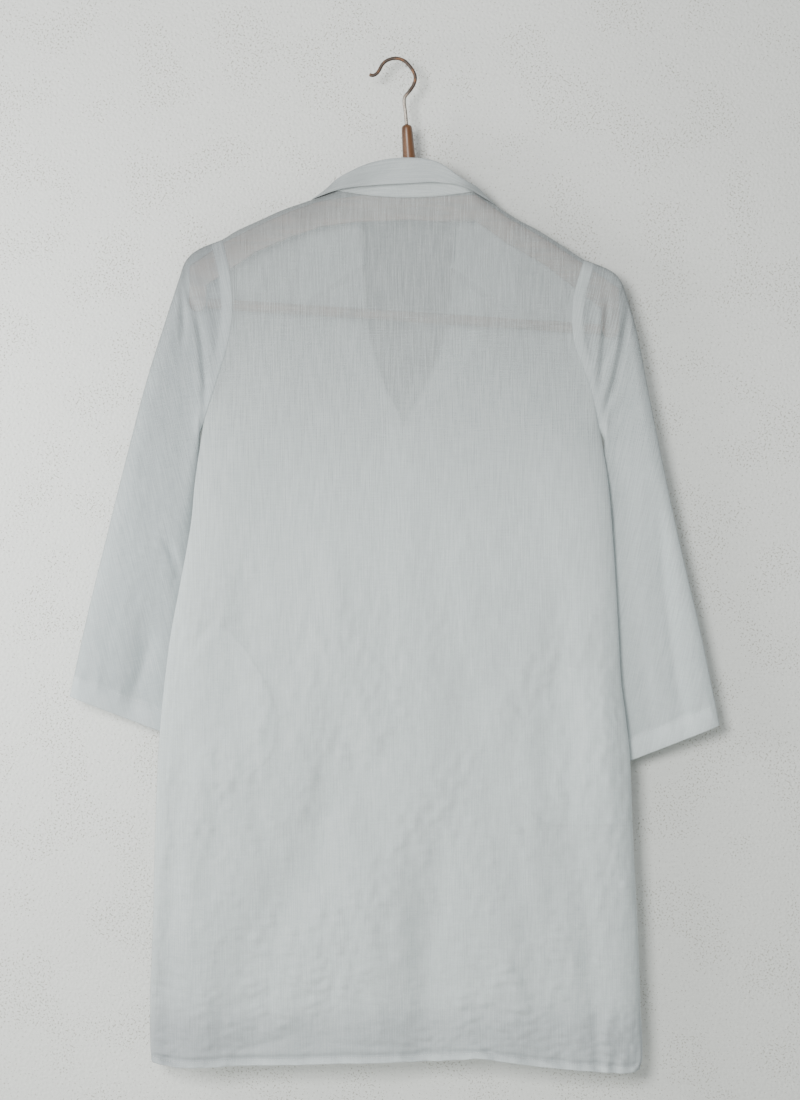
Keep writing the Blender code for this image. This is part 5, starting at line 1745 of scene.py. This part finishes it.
@dataclass
class Hanger:
    """Turned neck and wire hook made finely; the arms and the bar keep their CAD shape."""

    shop: Workshop
    frame: dict
    wire: float = 3.5
    wire_sides: int = 20
    neck_sides: int = 48
    neck_dark: Triple = (0.04, 0.016, 0.006)
    neck_light: Triple = (0.135, 0.056, 0.018)

    def hook(self) -> bpy.types.Mesh:
        """Bent wire with a rounded tip."""
        line = catmull(np.array(HOOK_WIRE, float), 10)
        points = np.stack([line[:, 0], np.zeros(len(line)), line[:, 1]], -1)
        tangent = np.gradient(points, axis=0)
        tangent /= np.linalg.norm(tangent, axis=1, keepdims=True)
        side = np.cross(tangent, np.array([0.0, 1.0, 0.0]))
        radius = np.full(len(points), self.wire / 2)
        run = np.concatenate([[0], np.cumsum(np.linalg.norm(np.diff(points, axis=0), axis=1))])
        radius *= quarter_round(run + 0.25, self.wire * 0.45)
        rings = []
        for k in range(self.wire_sides):
            turn = math.tau * k / self.wire_sides
            way = side * math.cos(turn) + np.array([0.0, math.sin(turn), 0.0])
            rings.append(points + way * radius[:, None])
        tip = points[0] - tangent[0] * 0.25
        return self._tube("hanger_hook_wire", np.stack(rings, axis=1), tip, points[-1])

    def neck(self) -> bpy.types.Mesh:
        """Turned neck."""
        profile = catmull(np.array(NECK_PROFILE, float), 5)
        top, foot = (np.array([x, 0.0, z]) for x, z in (NECK_TOP, NECK_FOOT))
        axis = (foot - top) / np.linalg.norm(foot - top)
        side = np.cross(axis, np.array([0.0, 1.0, 0.0]))
        rings = []
        for k in range(self.neck_sides):
            turn = math.tau * k / self.neck_sides
            way = side * math.cos(turn) + np.array([0.0, math.sin(turn), 0.0])
            rings.append(top + (foot - top) * profile[:, :1] + way * profile[:, 1:])
        return self._tube("hanger_neck_turned", np.stack(rings, axis=1), top, foot)

    @staticmethod
    def _tube(name: str, rings: Array, start: Array, end: Array) -> bpy.types.Mesh:
        """Closed skin over rings of points, with a point at each end."""
        count, sides = rings.shape[:2]
        points = np.concatenate([rings.reshape(-1, 3), start[None], end[None]]) * MM
        faces = []
        for r in range(count - 1):
            for k in range(sides):
                n = (k + 1) % sides
                faces.append((r * sides + k, r * sides + n, (r + 1) * sides + n, (r + 1) * sides + k))
        for k in range(sides):
            n = (k + 1) % sides
            faces.append((count * sides, n, k))
            faces.append((count * sides + 1, (count - 1) * sides + k, (count - 1) * sides + n))
        mesh = bpy.data.meshes.new(name)
        mesh.from_pydata(points.tolist(), [], faces)
        bm = bmesh.new()
        bm.from_mesh(mesh)
        bmesh.ops.recalc_face_normals(bm, faces=bm.faces)
        bm.to_mesh(mesh)
        bm.free()
        mesh.shade_smooth()
        return mesh

    def build(self) -> None:
        """Make the hook and the neck, and dress the arms and the bar."""
        hook = self.shop.place("hanger_hook_wire", self.hook(), IronFinish().make(self.shop.groups))
        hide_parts("hanger_hook")
        upright = WoodFinish("wood_neck", (0.0, math.pi / 2, 0.0), self.neck_dark, self.neck_light)
        neck = self.shop.place("hanger_neck_turned", self.neck(), upright.make(self.shop.groups))
        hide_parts("hanger_neck")
        for name in ("hanger_arms", "hanger_bar"):
            node = self.frame["nodes"][name]
            node.data.materials.clear()
            node.data.materials.append(WoodFinish("wood_" + name).make(self.shop.groups))
            log.info("%s: CAD shape, dressed", name)


@dataclass
class Studio:
    """Plaster wall, floor, soft light and camera."""

    groups: ShaderGroups
    wall_y: float = 30.0
    floor_z: float = -1400.0
    camera_distance: float = 3200.0
    centre: tuple[float, float] = (4.0, -490.0)
    view_height: float = 1100.0

    def _plane(self, name: str, corners: Sequence[Sequence[float]], material: bpy.types.Material) -> None:
        """Flat stage piece through four corners in millimetres."""
        mesh = bpy.data.meshes.new(name)
        mesh.from_pydata([[c * MM for c in corner] for corner in corners], [], [(0, 1, 2, 3)])
        mesh.materials.append(material)
        plane = bpy.data.objects.new(name, mesh)
        bpy.context.scene.collection.objects.link(plane)

    def _area(self, name: str, place: Sequence[float], aim: Sequence[float], size: float, watts: float,
              colour: Triple) -> None:
        """Soft square light."""
        light = bpy.data.lights.new(name, "AREA")
        light.shape, light.size, light.energy, light.color = "SQUARE", size, watts, colour
        lamp = bpy.data.objects.new(name, light)
        lamp.location = Vector(place)
        lamp.rotation_euler = (Vector(aim) - Vector(place)).to_track_quat("-Z", "Y").to_euler()
        bpy.context.scene.collection.objects.link(lamp)

    def build(self) -> None:
        """Make the stage, the lights and the camera."""
        y, low, far = self.wall_y, self.floor_z, 2600.0
        wall = PlasterFinish("wall_plaster").make(self.groups)
        self._plane("wall", [(-far, y, low), (far, y, low), (far, y, 1500), (-far, y, 1500)], wall)
        floor = PlasterFinish("floor_plaster", one_sided=False).make(self.groups)
        self._plane("floor", [(-far, -far, low), (far, -far, low), (far, far, low), (-far, far, low)], floor)
        self._area("window", (-0.90, -2.80, 0.05), (0.0, 0.0, -0.45), 0.9, 100.0, (1.0, 0.99, 0.97))
        self._area("side", (-1.45, -0.75, -0.42), (0.0, 0.0, -0.42), 0.6, 9.0, (1.0, 0.99, 0.97))
        self._area("wash", (-0.95, -0.42, -0.42), (-0.50, 0.03, -0.42), 0.3, 4.2, (1.0, 0.99, 0.97))
        world = bpy.data.worlds.new("room")
        world.use_nodes = True
        world.node_tree.nodes["Background"].inputs[0].default_value = (0.93, 0.96, 1.0, 1.0)
        world.node_tree.nodes["Background"].inputs[1].default_value = 0.5
        bpy.context.scene.world = world
        data = bpy.data.cameras.new("camera")
        data.sensor_width = 36.0
        data.lens = 36.0 * self.camera_distance / self.view_height
        camera = bpy.data.objects.new("camera", data)
        camera.location = (self.centre[0] * MM, -self.camera_distance * MM, self.centre[1] * MM)
        camera.rotation_euler = (math.pi / 2, 0.0, 0.0)
        bpy.context.scene.collection.objects.link(camera)
        bpy.context.scene.camera = camera


def clear_scene() -> None:
    """Take out what Blender starts with."""
    for thing in list(bpy.data.objects):
        bpy.data.objects.remove(thing)


def main() -> None:
    """Build the tunic, its hanger and the studio."""
    logging.basicConfig(level=logging.INFO, format="%(name)s %(message)s")
    clear_scene()
    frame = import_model()
    shop = Workshop(TunicForm())
    Body(shop).build()
    Sleeves(shop).build()
    Collar(shop).build()
    FrontEdges(shop).build()
    Pockets(shop).build()
    Hanger(shop, frame).build()
    Studio(shop.groups).build()


if __name__ == "__main__":
    main()
